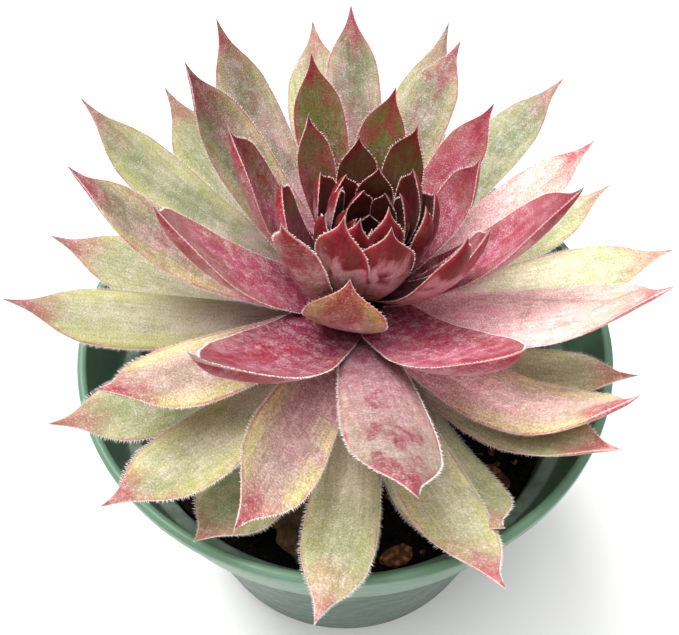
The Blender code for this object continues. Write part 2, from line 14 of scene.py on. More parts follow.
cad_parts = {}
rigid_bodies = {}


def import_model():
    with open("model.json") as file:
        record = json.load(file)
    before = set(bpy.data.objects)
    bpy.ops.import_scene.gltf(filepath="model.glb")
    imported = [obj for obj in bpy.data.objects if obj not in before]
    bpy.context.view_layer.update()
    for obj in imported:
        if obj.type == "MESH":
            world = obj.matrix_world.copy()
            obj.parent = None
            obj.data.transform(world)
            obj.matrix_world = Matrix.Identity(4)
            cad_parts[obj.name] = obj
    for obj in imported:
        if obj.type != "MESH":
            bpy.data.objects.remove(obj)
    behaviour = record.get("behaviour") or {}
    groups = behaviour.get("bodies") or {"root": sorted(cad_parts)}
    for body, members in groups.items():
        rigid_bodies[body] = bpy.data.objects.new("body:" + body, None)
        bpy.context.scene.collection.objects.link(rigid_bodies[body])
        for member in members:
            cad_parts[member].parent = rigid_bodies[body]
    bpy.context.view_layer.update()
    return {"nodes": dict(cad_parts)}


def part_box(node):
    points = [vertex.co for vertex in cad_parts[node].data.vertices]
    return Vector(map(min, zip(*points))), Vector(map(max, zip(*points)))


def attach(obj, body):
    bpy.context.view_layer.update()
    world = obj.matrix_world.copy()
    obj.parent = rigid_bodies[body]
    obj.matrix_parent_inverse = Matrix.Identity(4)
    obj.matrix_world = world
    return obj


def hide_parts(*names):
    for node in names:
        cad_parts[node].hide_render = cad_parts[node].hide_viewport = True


bl_info = {
    "name": "Potted houseleek",
    "version": (1, 0, 0),
    "blender": (4, 5, 0),
    "location": "3D View > Sidebar > Houseleek",
    "description": "Builds the looks of a potted houseleek around its packed solids",
    "category": "Object",
}

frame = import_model()

# The pot, in the same named sizes as the solids
RIM_RADIUS = 0.0525
POT_HEIGHT = 0.078
BASE_RADIUS = 0.0385
COLLAR_DEPTH = 0.0165
COLLAR_TAPER = 0.0030
STEP_WIDTH = 0.0029
STEP_HEIGHT = 0.0022
RIM_BEAD = 0.0026
RIM_BEAD_STEP = 0.0004
RIM_WALL = 0.0018
WALL = 0.0015
LIP = 0.0008
FLOOR = 0.0024
CORNER = 0.0006
FOOT_EDGE = 0.0012
FOOT_RING_INNER = 0.0335
FOOT_PAD_RADIUS = 0.0140
FOOT_GROOVE = 0.0008
DRAIN_HOLES = 6
DRAIN_RADIUS = 0.0030
DRAIN_CIRCLE = 0.0240
POT_STEPS = 160

# The potting mix and what lies on it
GAP = 0.0003
SOIL_EDGE_HEIGHT = 0.0565
SOIL_MOUND = 0.0125
SOIL_STEPS = 150
SOIL_RINGS = 44
STEM_RADIUS = 0.0066
STEM_TOP_RADIUS = 0.0062
STEM_SEAT = 0.0140
STEM_HOLE_CLEARANCE = 0.0006
WITHERED_START = (-0.0105, -0.0275)
WITHERED_END = (-0.0090, -0.0425)
WITHERED_WIDTH = 0.0070
WITHERED_THICKNESS = 0.0009
WITHERED_CURL = 0.0016

# How far the photo's frame is off the camera's axis, as shares of its width
FRAME_SHIFT = (-0.0085, 0.0013)

# The rosette's place and lean, and the spiral that its leaves follow from the lowest up
CROWN = Vector((0.0023, -0.0030, POT_HEIGHT + 0.0051))
LEAN_FRONT = 6.0
LEAN_RIGHT = 4.0
LEAF_COUNT = 70
FIRST_AZIMUTH = 244.0
DIVERGENCE = 137.5
LEAF_PITCH = 0.0001
TIER_STEP = 0.0025

# Each tier: name, first leaf, core radius at its foot and top, and core's reach below its first leaf
TIERS = (
    ("outer_leaves", 0, 0.0076, 0.0074, 0.0023),
    ("middle_leaves", 17, 0.0074, 0.0070, 0.0011),
    ("inner_leaves", 30, 0.0061, 0.0058, 0.0011),
    ("heart", 45, 0.0047, 0.0030, 0.0011),
)
CORE_ABOVE = 0.0009

# Rows along a leaf and points around it
LEAF_GRID = (44, 28)
HEART_GRID = (26, 18)

# How the leaves change from the oldest (number 0) to the youngest: pairs of leaf number and value
RISE = ((0, 12), (20, 29), (40, 58), (55, 81), (70, 89))
LENGTH = ((0, .058), (20, .058), (32, .048), (40, .038), (50, .027), (60, .018), (70, .011))
WIDTH = (
    (0, .0115), (16, .0118), (24, .0125), (32, .0125), (40, .0105), (50, .0080), (60, .0060), (70, .0040)
)
THICKNESS = ((0, .0026), (30, .0024), (50, .0017), (70, .0011))
ROOT_INSET = ((0, .0055), (30, .0055), (44, .0044), (45, .0039), (55, .0026), (70, .0008))
ARCH = ((0, -.09), (40, -.10), (70, -.14))
HOOK = ((0, .02), (30, .03), (45, .04), (70, .03))
CHANNEL = ((0, .0), (16, .05), (30, .14), (50, .28), (70, .35))
OUTLINE = (
    (0, .60), (.25, .76), (.5, .94), (.65, 1), (.77, .90),
    (.84, .66), (.89, .38), (.925, .20), (.96, .09), (1, 0)
)
BULK = ((0, .76), (.3, 1), (.65, .90), (.85, .66), (.95, .30), (1, 0))

# Where single leaves depart from the rule. Another program made this table: a fit to points on
# the photo, a search that moved clashing leaves apart, and a script that rounded the result and wrote
# it here. Only leaves 29, 34, 37 and 42 were set again.
# turn, lift and roll are degrees and are added, long and wide multiply, taper narrows the blade
# towards its tip by that share, and the others are added as shares of the length, or of the half
# width for channel.
HABITS = {
    0: {"turn": -2, "long": .83, "wide": 1.25, "arch": -.12},
    1: {"turn": 7, "lift": -2, "long": .93, "wide": .85},
    2: {"turn": 15, "long": .9, "sweep": -.02, "roll": -15},
    3: {"turn": -4, "lift": 8, "long": .82, "wide": 1.5, "arch": -.12, "channel": -.2},
    4: {"long": 1.14, "wide": 1.25, "arch": -.06, "sweep": .02, "channel": -.1},
    5: {"turn": 2, "long": .92, "roll": -15, "channel": -.1},
    6: {"turn": -11, "long": .79, "wide": .9, "arch": -.06, "hook": -.04, "channel": .1},
    7: {"turn": 8, "long": .93, "wide": 1.25, "arch": -.06, "sweep": -.02, "roll": -10, "channel": -.1},
    8: {"turn": -1, "lift": 4, "long": 1.02, "wide": .95, "sweep": .04, "roll": -10, "channel": -.1},
    9: {"turn": 7, "long": 1.03, "wide": .95, "arch": .04, "sweep": .04},
    10: {"turn": 14, "long": .97, "wide": .95, "arch": .06, "sweep": .02, "roll": -10, "channel": -.2},
    11: {"turn": -2, "lift": 6, "long": .87, "wide": .95, "arch": -.1, "hook": -.08, "channel": .2},
    12: {"turn": 7, "long": .98, "wide": 1.25, "arch": .04},
    13: {"turn": 1, "long": .98},
    14: {"turn": -7, "long": .89, "arch": .06},
    15: {"turn": 6},
    16: {"turn": 2, "wide": 1.05, "roll": -20, "channel": -.1},
    17: {"turn": 8, "lift": -4, "long": .92, "wide": .95, "arch": .08, "sweep": .04},
    18: {"turn": 20, "long": .84, "wide": 1.1, "arch": .04, "hook": .04, "roll": 10, "channel": -.1},
    19: {"turn": -18, "lift": 6, "long": .87, "wide": 1.25, "arch": -.12, "roll": -20, "channel": -.1},
    20: {"turn": 9, "long": .94, "wide": .95},
    21: {"long": .98, "arch": .06, "roll": -40, "channel": .1},
    22: {"turn": -2, "long": .82, "wide": .9, "arch": .04, "roll": -20},
    23: {"turn": 12, "lift": 4, "long": .92, "wide": 1.1, "arch": -.04, "hook": -.04, "roll": 15},
    25: {"turn": 13, "lift": -4, "long": .96, "wide": .85, "arch": .1},
    27: {"turn": -18, "long": .97, "wide": 1.45, "roll": -30, "channel": -.1},
    28: {"turn": 7, "long": .91, "wide": 1.15, "roll": 25, "channel": .1},
    29: {"turn": 1, "long": 1.22, "wide": 1.05, "arch": .08, "roll": -10, "channel": -.3, "taper": .15},
    30: {"lift": -2, "long": .73, "wide": .75, "arch": .06, "roll": -15},
    31: {"turn": 12, "lift": 6, "long": .88, "wide": 1.25, "roll": 20},
    33: {"turn": 9, "long": .82, "wide": .8},
    34: {"lift": -2, "long": 1.23, "wide": 1.45, "sweep": .01, "roll": 12, "hook": -.02, "taper": .95},
    35: {"turn": -21, "lift": 2, "long": .92, "wide": 1.1, "hook": -.04, "roll": -25, "channel": .1},
    36: {"turn": 11, "lift": 8, "long": .85, "wide": 1.1, "hook": -.04, "roll": 25, "channel": .1},
    37: {"turn": 5, "lift": -4, "long": 1.15, "wide": 1.55, "roll": -8, "taper": .5},
    38: {"turn": 12, "long": .8, "wide": .8, "sweep": .04},
    39: {"turn": 22, "lift": 10, "wide": .75, "arch": .04, "hook": -.06, "roll": 20},
    40: {"turn": -7, "lift": 6, "long": .79, "wide": .85, "hook": -.04},
    41: {"turn": 2, "long": .8, "wide": .7},
    42: {"turn": -3, "lift": 4, "long": .74, "wide": 1.3, "arch": -.06, "roll": 8, "channel": -.3},
    43: {"turn": -12, "long": .85, "wide": .9, "roll": -10},
    44: {"turn": 7, "lift": 6, "long": .85, "wide": 1.15},
    46: {"turn": 12, "long": .75, "wide": .8},
    47: {"turn": 20, "lift": 4, "long": 1.08},
    48: {"turn": 2, "lift": 6, "long": .78, "wide": 1.15},
    49: {"turn": 6, "long": .76, "arch": .04, "roll": 15},
    50: {"turn": -3, "long": 1.1, "wide": 1.2},
    51: {"long": 1.1, "arch": .06, "roll": -10},
    52: {"turn": 3, "long": .79},
    54: {"turn": 24, "long": .88},
    56: {"turn": 6, "long": 1.12},
    58: {"turn": -14, "long": 1.24},
    59: {"turn": 8, "long": 1.15},
    60: {"turn": -26},
    61: {"turn": 26, "long": 1.15},
    62: {"turn": -13, "long": 1.08},
    64: {"turn": 12, "long": 1.19},
}

# Leaves that this plant has lost, or that are too stunted to see
LOST = (24, 26, 32)

# How far each leaf has coloured: rosy wash from the root, crimson blotches, yellow along the margins,
# olive clouds and reddened tip, and the painted shade at the root, as they go from the oldest leaf to the
# youngest, then leaf by leaf. depth is how light the whole leaf is against the others of its tier: partly
# its own depth of colour, partly painted light and shade for how brightly it is lit
WASH = ((0, .15), (12, .25), (20, .7), (30, .95), (70, 1))
BLOTCH = ((0, .05), (14, .15), (22, .6), (34, .9), (70, 1))
SUN = ((0, .25), (16, .45), (26, .4), (34, .1), (70, 0))
OLIVE = ((0, .5), (16, .6), (26, .8), (40, .8), (70, .6))
TIP = ((0, .6), (16, .7), (26, .9), (70, 1))
# Painted shade at the root of the leaves in the heart, from the oldest leaf to the youngest
ROOT_SHADE = ((0, 0), (32, .1), (40, .5), (48, 1), (70, 1))
COLOURING = {
    0: {"wash": .1, "sun": .2, "olive": .9, "tip": .6},
    1: {"wash": .05, "sun": .5, "olive": .5},
    2: {"wash": .05, "sun": .3, "olive": .3, "tip": .8, "depth": .8},
    3: {"wash": .1, "sun": .4, "olive": .8, "tip": .5, "depth": 1.1},
    4: {"wash": .1, "sun": .4, "olive": .6, "depth": .7},
    5: {"wash": 0, "sun": .2, "olive": .8, "tip": .7, "depth": .9},
    6: {"wash": .1, "sun": .2, "olive": .3, "tip": .9},
    7: {"wash": .1, "sun": 1, "olive": .5, "depth": .8},
    8: {"wash": .1, "sun": .4, "olive": .6, "tip": .8},
    9: {"wash": .5, "blotch": .1, "sun": .1, "olive": .9, "depth": .7},
    10: {"wash": .05, "sun": 1, "olive": .3, "tip": .9, "depth": .7},
    11: {"wash": .4, "sun": .1, "olive": .5, "tip": 1},
    12: {"wash": .3, "sun": .5, "olive": .6, "depth": .8},
    13: {"wash": .05, "sun": .8, "olive": .5, "tip": 1, "depth": .85},
    14: {"wash": .4, "sun": .1, "olive": .4, "tip": .8},
    15: {"wash": .4, "blotch": .1, "sun": .7, "olive": .9, "depth": .75},
    16: {"wash": .1, "sun": .7, "olive": .5, "tip": 1},
    17: {"wash": .6, "blotch": .6, "sun": .5, "olive": .9, "depth": .75},
    18: {"wash": .7, "blotch": .1, "sun": .9, "olive": .5, "tip": 1.2},
    19: {"wash": .6, "blotch": .1, "sun": .8, "olive": .4, "tip": 1.2, "depth": 1.3},
    20: {"wash": .4, "blotch": .3, "sun": .5, "olive": .9, "depth": .75},
    21: {"wash": .5, "blotch": .1, "sun": 1.1, "olive": .3, "tip": 1.1, "depth": 1.25},
    22: {"wash": .2, "blotch": .4, "sun": 0, "olive": .2, "tip": .8, "depth": 1.3},
    23: {"wash": .7, "blotch": .7, "sun": .8, "olive": .8, "depth": 1.1},
    25: {"wash": .6, "blotch": .4, "sun": .3, "olive": 1, "depth": .7},
    27: {"wash": .1, "blotch": .5, "sun": 0, "olive": .3, "depth": 1.5},
    28: {"wash": .8, "blotch": .7, "sun": .6, "olive": 1, "depth": .8},
    29: {"wash": 1, "blotch": 1, "sun": .2, "olive": .1, "tip": .9, "depth": .7},
    30: {"wash": .6, "blotch": .7, "olive": .5, "depth": .8},
    31: {"wash": .8, "blotch": .7, "olive": .5},
    33: {"wash": .5, "blotch": .6, "olive": 1.1, "root_shade": .6},
    34: {"wash": 1, "blotch": 1.1, "olive": 0, "root_shade": .3, "depth": .85},
    35: {"wash": .8, "blotch": .6, "olive": .2, "root_shade": 0},
    36: {"wash": .7, "blotch": .8, "olive": .6, "root_shade": .3},
    37: {"wash": 1, "blotch": .8, "olive": .1, "root_shade": 0},
    38: {"wash": .3, "blotch": .6, "olive": 1.3, "root_shade": .9},
    40: {"wash": .8, "blotch": .7, "olive": .1, "root_shade": .2},
    41: {"blotch": .6, "olive": .8, "root_shade": 1},
    42: {"wash": 0, "blotch": .2, "sun": 1, "olive": 1.3, "tip": .3, "root_shade": 0, "depth": 1.3},
    43: {"wash": .8, "blotch": .4, "olive": .4, "root_shade": .2},
    46: {"blotch": .6, "olive": .9},
    51: {"blotch": .8, "olive": .9},
    59: {"blotch": .8, "olive": .7},
}


def linear(hex_colour):
    """Linear RGBA of an sRGB hex colour."""
    channels = [int(hex_colour[i:i + 2], 16) / 255 for i in (0, 2, 4)]
    return [c / 12.92 if c <= 0.04045 else ((c + 0.055) / 1.055) ** 2.4 for c in channels] + [1.0]


def colour_prop(name, description, hex_colour):
    return bpy.props.FloatVectorProperty(
        name=name, description=description, default=linear(hex_colour), size=4, min=0, max=1, subtype="COLOR"
    )


def size_prop(name, description, default):
    return bpy.props.FloatProperty(
        name=name, description=description, default=default, min=0, precision=5,
        subtype="DISTANCE", unit="LENGTH"
    )


class PotSettings(bpy.types.PropertyGroup):
    # The collar shows the plastic's own sage green; wall is painted shade for the wall under the collar
    plastic: colour_prop("Plastic", "Sage green of the sun-bleached collar", "608069")
    wall: colour_prop("Wall", "Deeper green of the wall under the collar", "32503D")
    dust: colour_prop("Dust", "Dried lime and dust on the inner ledge", "8C968C")
    # The inside colour is painted shade on the inside wall, where light hardly reaches
    painted_inside_shade: colour_prop("Film", "Damp film on the inside wall", "22301F")
    grime: colour_prop("Grime", "Mix rubbed into the wall above the fill", "2A241C")


class MixSettings(bpy.types.PropertyGroup):
    peat: colour_prop("Peat", "Moist peat of the potting mix", "070505")
    peat_dry: colour_prop("Dry peat", "Peat crumbs that have dried", "150E0A")
    bark: colour_prop("Bark", "Composted bark", "5A2E14")
    crumbs: bpy.props.IntProperty(name="Crumbs", description="Loose crumbs on the mix", default=1500, min=0)
    lump: size_prop("Lump", "Height of the lumps in the mix", 0.0011)


class RosetteSettings(bpy.types.PropertyGroup):
    hair: colour_prop("Hair", "Pale hairs along the leaf margins", "F6EFE6")
    outer_hair: size_prop("Outer hair length", "Length of the hairs on the outer leaves", 0.00080)
    heart_hair: size_prop("Heart hair length", "Length of the hairs in the heart", 0.00042)
    outer_step: size_prop("Outer hair spacing", "Between hairs along an outer leaf's margin", 0.00026)
    heart_step: size_prop("Heart hair spacing", "Between hairs along a margin in the heart", 0.00052)
    outer_root: size_prop("Outer hair thickness", "Radius of an outer leaf's hair at its root", 0.000075)
    heart_root: size_prop("Heart hair thickness", "Radius of a hair at its root in the heart", 0.000120)


class StageSettings(bpy.types.PropertyGroup):
    floor: colour_prop("Floor", "Plain pale floor", "F4F3F1")
    distance: size_prop("Camera distance", "From the rim's middle to the camera", 2.75 * RIM_RADIUS)
    elevation: bpy.props.FloatProperty(
        name="Camera elevation", description="Angle of the camera above the rim", default=math.radians(52),
        subtype="ANGLE", unit="ROTATION"
    )
    lens: bpy.props.FloatProperty(name="Lens", description="Focal length", default=38.28, unit="CAMERA")


def mix(points, place):
    """Straight-line reading of a short table of pairs."""
    for (x0, y0), (x1, y1) in zip(points, points[1:]):
        if place <= x1:
            return y0 + (y1 - y0) * (place - x0) / (x1 - x0)
    return points[-1][1]


def flow(points, place):
    """Smooth reading of a short table of pairs, with no overshoot."""
    last = len(points) - 1
    slopes = [(b[1] - a[1]) / (b[0] - a[0]) for a, b in zip(points, points[1:])]
    i = next((k for k in range(last) if place <= points[k + 1][0]), last - 1)

    def tangent(k):
        if k in (0, last):
            return slopes[0 if k == 0 else -1]
        before, after = slopes[k - 1], slopes[k]
        return 0.0 if before * after <= 0 else 2 * before * after / (before + after)

    (x0, y0), (x1, y1) = points[i], points[i + 1]
    span = x1 - x0
    s = (place - x0) / span
    return (
        (2 * s ** 3 - 3 * s ** 2 + 1) * y0
        + (s ** 3 - 2 * s ** 2 + s) * span * tangent(i)
        + (3 * s ** 2 - 2 * s ** 3) * y1
        + (s ** 3 - s ** 2) * span * tangent(i + 1)
    )


def ease(value, low, high):
    """0 below low, 1 above high and smooth between."""
    s = min(1.0, max(0.0, (value - low) / (high - low)))
    return s * s * (3 - 2 * s)


def finished(shape, name, surface, nodes=()):
    """Turn a bmesh into a smooth piece that rides with the plant and stands for its CAD nodes."""
    mesh = bpy.data.meshes.new(name)
    shape.to_mesh(mesh)
    shape.free()
    mesh.materials.append(surface)
    mesh.shade_smooth()
    piece = bpy.data.objects.new(name, mesh)
    bpy.context.scene.collection.objects.link(piece)
    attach(piece, "root")
    if nodes:
        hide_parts(*nodes)
    return piece


def rolled(shape, rings):
    """Add a closed tube to a bmesh: a grid rolled round, with one row of points per ring."""
    rows, around = len(rings), len(rings[0])
    grid = bmesh.ops.create_grid(shape, x_segments=rows - 1, y_segments=around, size=0.5)["verts"]
    spots = {}
    for vert in grid:
        row = round((vert.co.x + 0.5) * (rows - 1))
        place = round((vert.co.y + 0.5) * around) % around
        spots[vert] = (row, place)
    for vert, (row, place) in spots.items():
        vert.co = rings[row][place]
    return spots


def close_tube(shape, verts):
    """Weld the seam and the tip of a rolled tube, close its open end and turn its faces outwards."""
    bmesh.ops.remove_doubles(shape, verts=verts, dist=0.000002)
    kept = [vert for vert in verts if vert.is_valid]
    edges = {edge for vert in kept for edge in vert.link_edges}
    bmesh.ops.holes_fill(shape, edges=[edge for edge in edges if edge.is_boundary])
    faces = {face for vert in kept for face in vert.link_faces}
    if any(edge.is_boundary for edge in edges):
        raise RuntimeError("a rolled tube stayed open")
    bmesh.ops.recalc_face_normals(shape, faces=list(faces))


# Materials


def new_material(name):
    made = bpy.data.materials.new(name)
    made.use_nodes = True
    made.node_tree.nodes.clear()
    return made, made.node_tree


def add(tree, kind, sockets=None, stops=(), **settings):
    """Add a node, set its properties, set or link its sockets, and set a colour ramp's stops."""
    node = tree.nodes.new("ShaderNode" + kind)
    for key, value in settings.items():
        setattr(node, key, value)
    for key, value in (sockets or {}).items():
        if isinstance(value, bpy.types.NodeSocket):
            tree.links.new(value, node.inputs[key])
        else:
            node.inputs[key].default_value = value
    for count, (place, tone) in enumerate(stops):
        if count >= len(node.color_ramp.elements):
            node.color_ramp.elements.new(place)
        node.color_ramp.elements[count].position = place
        node.color_ramp.elements[count].color = tone
    return node


# What each tier's living skin shows, as hex colours. root, middle and end run along the upper face and
# the back_ ones along the underside. Over them lie the rosy wash, the painted shade at the root, olive
# clouds, yellowed margins, crimson blotches, the tip and the line inside the margin. Then come how far
# along the blotches start, how little of the blade they leave free, the weight of veils and specks,
# how much of them the tip keeps, and the weight of pits
SKIN_TONES = {
    "outer_leaves": dict(
        root="E4CCC2", middle="D8D0AE", end="C2C294",
        back_root="C0BE94", back_middle="B8BC8A", back_end="A6AC7A",
        wash="C8A09C", root_shade="8E6A62", olive="929C6E", sun="DEDD88",
        blotch="A06C76", tip="BC5A64", line="C28684",
        pit="6E6E44", start=.35, free=.54, veil=.28, specks=.50, bare=1, pits=.34),
    "middle_leaves": dict(
        root="D894A2", middle="DCB0AE", end="BCA494",
        back_root="B88A8C", back_middle="AE9478", back_end="9A8462",
        wash="B86E84", root_shade="8A3A54", olive="7E8058", sun="DCDA88",
        blotch="A23656", tip="A4303E", line="BE4E64",
        pit="70303E", start=.25, free=.50, veil=.30, specks=.58, bare=.7, pits=.38),
    "inner_leaves": dict(
        root="8A2A50", middle="C4627C", end="A85462",
        back_root="D49AA8", back_middle="B05068", back_end="8E2236",
        wash="A8385E", root_shade="561020", olive="6E7034", sun="B4AC64",
        blotch="A01434", tip="96182C", line="B43048",
        pit="5E1424", start=.25, free=.46, veil=.30, specks=.52, bare=.35, pits=.40),
    "heart": dict(
        root="7C1A30", middle="6E1822", end="62241E",
        back_root="E4A8B4", back_middle="8C2432", back_end="640E18",
        wash="861E34", root_shade="400810", olive="5C4C24", sun="9C9048",
        blotch="6A0A18", tip="7E0E1C", line="B02A3E",
        pit="40080E", start=.30, free=.46, veil=.22, specks=.28, bare=.06, pits=.26),
}


def leaf_skin(name, tones):
    """Living houseleek leaf: thin waxy skin over wet flesh, frosted by hairs too short to see singly.

    It gives a soft satin shine and a little light through the flesh. Distances along, across and from
    the margin come in millimetres from the leaf's own attributes, so patterns follow the blade.
    """
    made, tree = new_material(name)
    place = add(tree, "SeparateXYZ", {0: add(tree, "Attribute", attribute_name="place").outputs["Vector"]})
    across, along, upper = place.outputs
    skin_mm = add(tree, "Attribute", attribute_name="skin_mm").outputs["Vector"]
    margin_mm = add(tree, "Attribute", attribute_name="margin_mm").outputs["Fac"]
    habit = add(tree, "SeparateXYZ", {0: add(tree, "Attribute", attribute_name="habit").outputs["Vector"]})
    wash, blotch, sun = habit.outputs
    mood = add(tree, "SeparateXYZ", {0: add(tree, "Attribute", attribute_name="mood").outputs["Vector"]})
    olive, redness, root_shade = mood.outputs
    edge = add(tree, "Math", {0: across}, operation="ABSOLUTE").outputs[0]

    # Clouds about 8 mm long, blotches of 4 mm, veils of 1.5 mm, streaks 0.6 mm wide, specks of 0.3 mm
    stretched = add(tree, "Mapping", {"Vector": skin_mm, "Scale": (1.0, 0.55, 1.0)}).outputs[0]
    lengthwise = add(tree, "Mapping", {"Vector": skin_mm, "Scale": (1.0, 0.1, 1.0)}).outputs[0]
    patterns = {}
    for key, vector, scale, detail, rough, distortion in (
        ("cloud", stretched, 0.24, 2.0, 0.5, 0.0),
        ("patch", stretched, 0.26, 3.0, 0.55, 0.6),
        ("haze", stretched, 0.15, 2.0, 0.5, 0.3),
        ("veil", skin_mm, 0.55, 4.0, 0.62, 0.0),
        ("streak", lengthwise, 1.7, 3.0, 0.55, 0.0),
        ("frost", skin_mm, 3.4, 2.0, 0.7, 0.0),
    ):
        patterns[key] = add(tree, "TexNoise", {"Vector": vector, "Scale": scale, "Detail": detail,
                                               "Roughness": rough, "Distortion": distortion}).outputs[0]
    cloud, patch, haze, veil, streak, frost = patterns.values()

    drift = add(tree, "MapRange", {"Value": patch, 1: 0.3, 2: 0.7, 3: -0.14, 4: 0.14}).outputs[0]
    drifted = add(tree, "Math", {0: along, 1: drift}, operation="ADD").outputs[0]
    faces = []
    for side, spots in (("", (0.16, 0.45, 0.8)), ("back_", (0.66, 0.76, 0.95))):
        stops = [(spot, linear(tones[side + part])) for spot, part in zip(spots, ("root", "middle", "end"))]
        faces.append(add(tree, "ValToRGB", {"Fac": drifted}, stops=stops).outputs[0])
    tone = add(tree, "Mix", {0: upper, 6: faces[1], 7: faces[0]}, data_type="RGBA").outputs[2]
    shade = add(tree, "MapRange", {"Value": streak, 1: 0.3, 2: 0.7, 3: 0.86, 4: 1.13}).outputs[0]
    # depth: the leaf's own depth of colour, and painted light and shade for how brightly each leaf is lit
    depth = add(tree, "Attribute", attribute_name="depth").outputs["Fac"]
    shade = add(tree, "Math", {0: shade, 1: depth}, operation="MULTIPLY").outputs[0]
    clouded = add(tree, "Math", {0: olive, 1: 0.3, 2: haze}, operation="MULTIPLY_ADD").outputs[0]
    nearly = add(tree, "Math", {0: drift, 1: 0.35, 2: along}, operation="MULTIPLY_ADD").outputs[0]
    # Painted shade at the root on the upper face, which also thins the frost there
    root_shade_on_top = add(tree, "Math", {0: root_shade, 1: upper}, operation="MULTIPLY").outputs[0]
    start, free = tones["start"], tones["free"]
    kept, frost_under_root_shade = (drifted, 0.5, 0.8, 1.0, tones["bare"]), (root_shade_on_top, 0.0, 1.0, 1.0, 0.2)

    # Each layer is a colour and what its share is the product of: sockets, numbers, and smooth steps
    # written as (value, low, high, share at low, share at high)
    layers = (
        # Rosy wash that fades from the root
        (tones["wash"], (wash, (drifted, 0.05, 0.9, 1.0, 0.0))),
        # Olive clouds on the upper face, over the middle and end of the blade
        (tones["olive"], (olive, (clouded, 0.55, 0.85, 0.0, 1.0), (drifted, 0.22, 0.55, 0.0, 1.0),
                          (edge, 0.75, 1.0, 1.0, 0.35), (upper, 0.0, 1.0, 0.45, 1.0))),
        # Painted shade at the root of the leaves that stand in the heart, on their upper face
        (tones["root_shade"], (root_shade, (drifted, 0.30, 0.72, 1.0, 0.0), upper)),
        # Yellowed flesh along the margins
        (tones["sun"], (sun, 0.75, (edge, 0.25, 0.95, 0.0, 1.0), (cloud, 0.24, 0.5, 0.0, 1.0),
                        (along, 0.25, 0.5, 0.0, 1.0), (along, 0.82, 0.97, 1.0, 0.0))),
        # Crimson blotches, mostly down the middle of the blade
        (tones["blotch"], (blotch, (patch, free, free + 0.18, 0.0, 0.9), (edge, 0.3, 1.1, 1.0, 0.35),
                           (along, start - 0.15, start + 0.15, 0.0, 1.0))),
        # Reddened tip with a ragged border
        (tones["tip"], (redness, (nearly, 0.78, 0.97, 0.0, 1.0))),
        # Rosy line inside the margin, and the dry point
        (tones["line"], ((margin_mm, 0.1, 0.6, 0.8, 0.0), (cloud, 0.36, 0.6, 0.15, 1.0))),
        ("5E3428", ((along, 0.96, 0.995, 0.0, 0.7),)),
        # Pits of bare darker skin between the hairs
        (tones["pit"], ((frost, 0.38, 0.52, tones["pits"], 0.0),)),
        # Frost: loose white veils, specks, and the bloom on the very margin
        ("F4E6DE", ((veil, 0.42, 0.78, 0.0, 1.0), tones["veil"], kept, frost_under_root_shade)),
        ("F8F0EA", ((frost, 0.52, 0.66, 0.0, 1.0), (veil, 0.35, 0.6, 0.3, 1.0),
                    tones["specks"], kept, frost_under_root_shade)),
        ("F6E6D8", ((margin_mm, 0.03, 0.13, 0.5, 0.0),)),
    )
    for colour, factors in layers:
        share = 1.0
        for factor in factors:
            if isinstance(factor, tuple):
                steps = dict(zip(("Value", 1, 2, 3, 4), factor))
                factor = add(tree, "MapRange", steps, interpolation_type="SMOOTHSTEP").outputs[0]
            share = add(tree, "Math", {0: factor, 1: share}, operation="MULTIPLY", use_clamp=True).outputs[0]
        tone = add(tree, "Mix", {0: share, 6: tone, 7: linear(colour)}, data_type="RGBA").outputs[2]
    tone = add(tree, "VectorMath", {0: tone, 1: shade}, operation="MULTIPLY").outputs[0]

    grain = add(tree, "Math", {0: frost, 1: 0.8, 2: streak}, operation="MULTIPLY_ADD").outputs[0]
    bump = add(tree, "Bump", {"Strength": 0.6, "Distance": 0.00030, "Height": grain}).outputs[0]
    rough = add(tree, "MapRange", {"Value": frost, 1: 0.3, 2: 0.7, 3: 0.40, 4: 0.62}).outputs[0]
    shader = add(tree, "BsdfPrincipled", {
        "Base Color": tone, "Roughness": rough, "Normal": bump, "IOR": 1.45, "Specular IOR Level": 0.30,
        "Subsurface Weight": 0.12, "Subsurface Radius": (1.0, 0.40, 0.3), "Subsurface Scale": 0.0012,
        "Sheen Weight": 0.03, "Sheen Roughness": 0.4,
    })
    add(tree, "OutputMaterial", {"Surface": shader.outputs[0]})
    return made


def leaf_hair(settings):
    """Houseleek margin hairs: clear hollow cells that look white where light catches them."""
    made, tree = new_material("margin_hair")
    spot = add(tree, "TexCoord").outputs["Object"]
    vary = add(tree, "TexNoise", {"Vector": spot, "Scale": 900.0, "Detail": 1.0}).outputs[0]
    tone = add(tree, "Mix", {0: vary, 6: tuple(settings.hair), 7: linear("E9D3CB")},
               data_type="RGBA").outputs[2]
    shader = add(tree, "BsdfPrincipled", {"Base Color": tone, "Roughness": 0.35, "IOR": 1.45,
                                          "Subsurface Weight": 0.3, "Subsurface Scale": 0.0004})
    add(tree, "OutputMaterial", {"Surface": shader.outputs[0]})
    return made


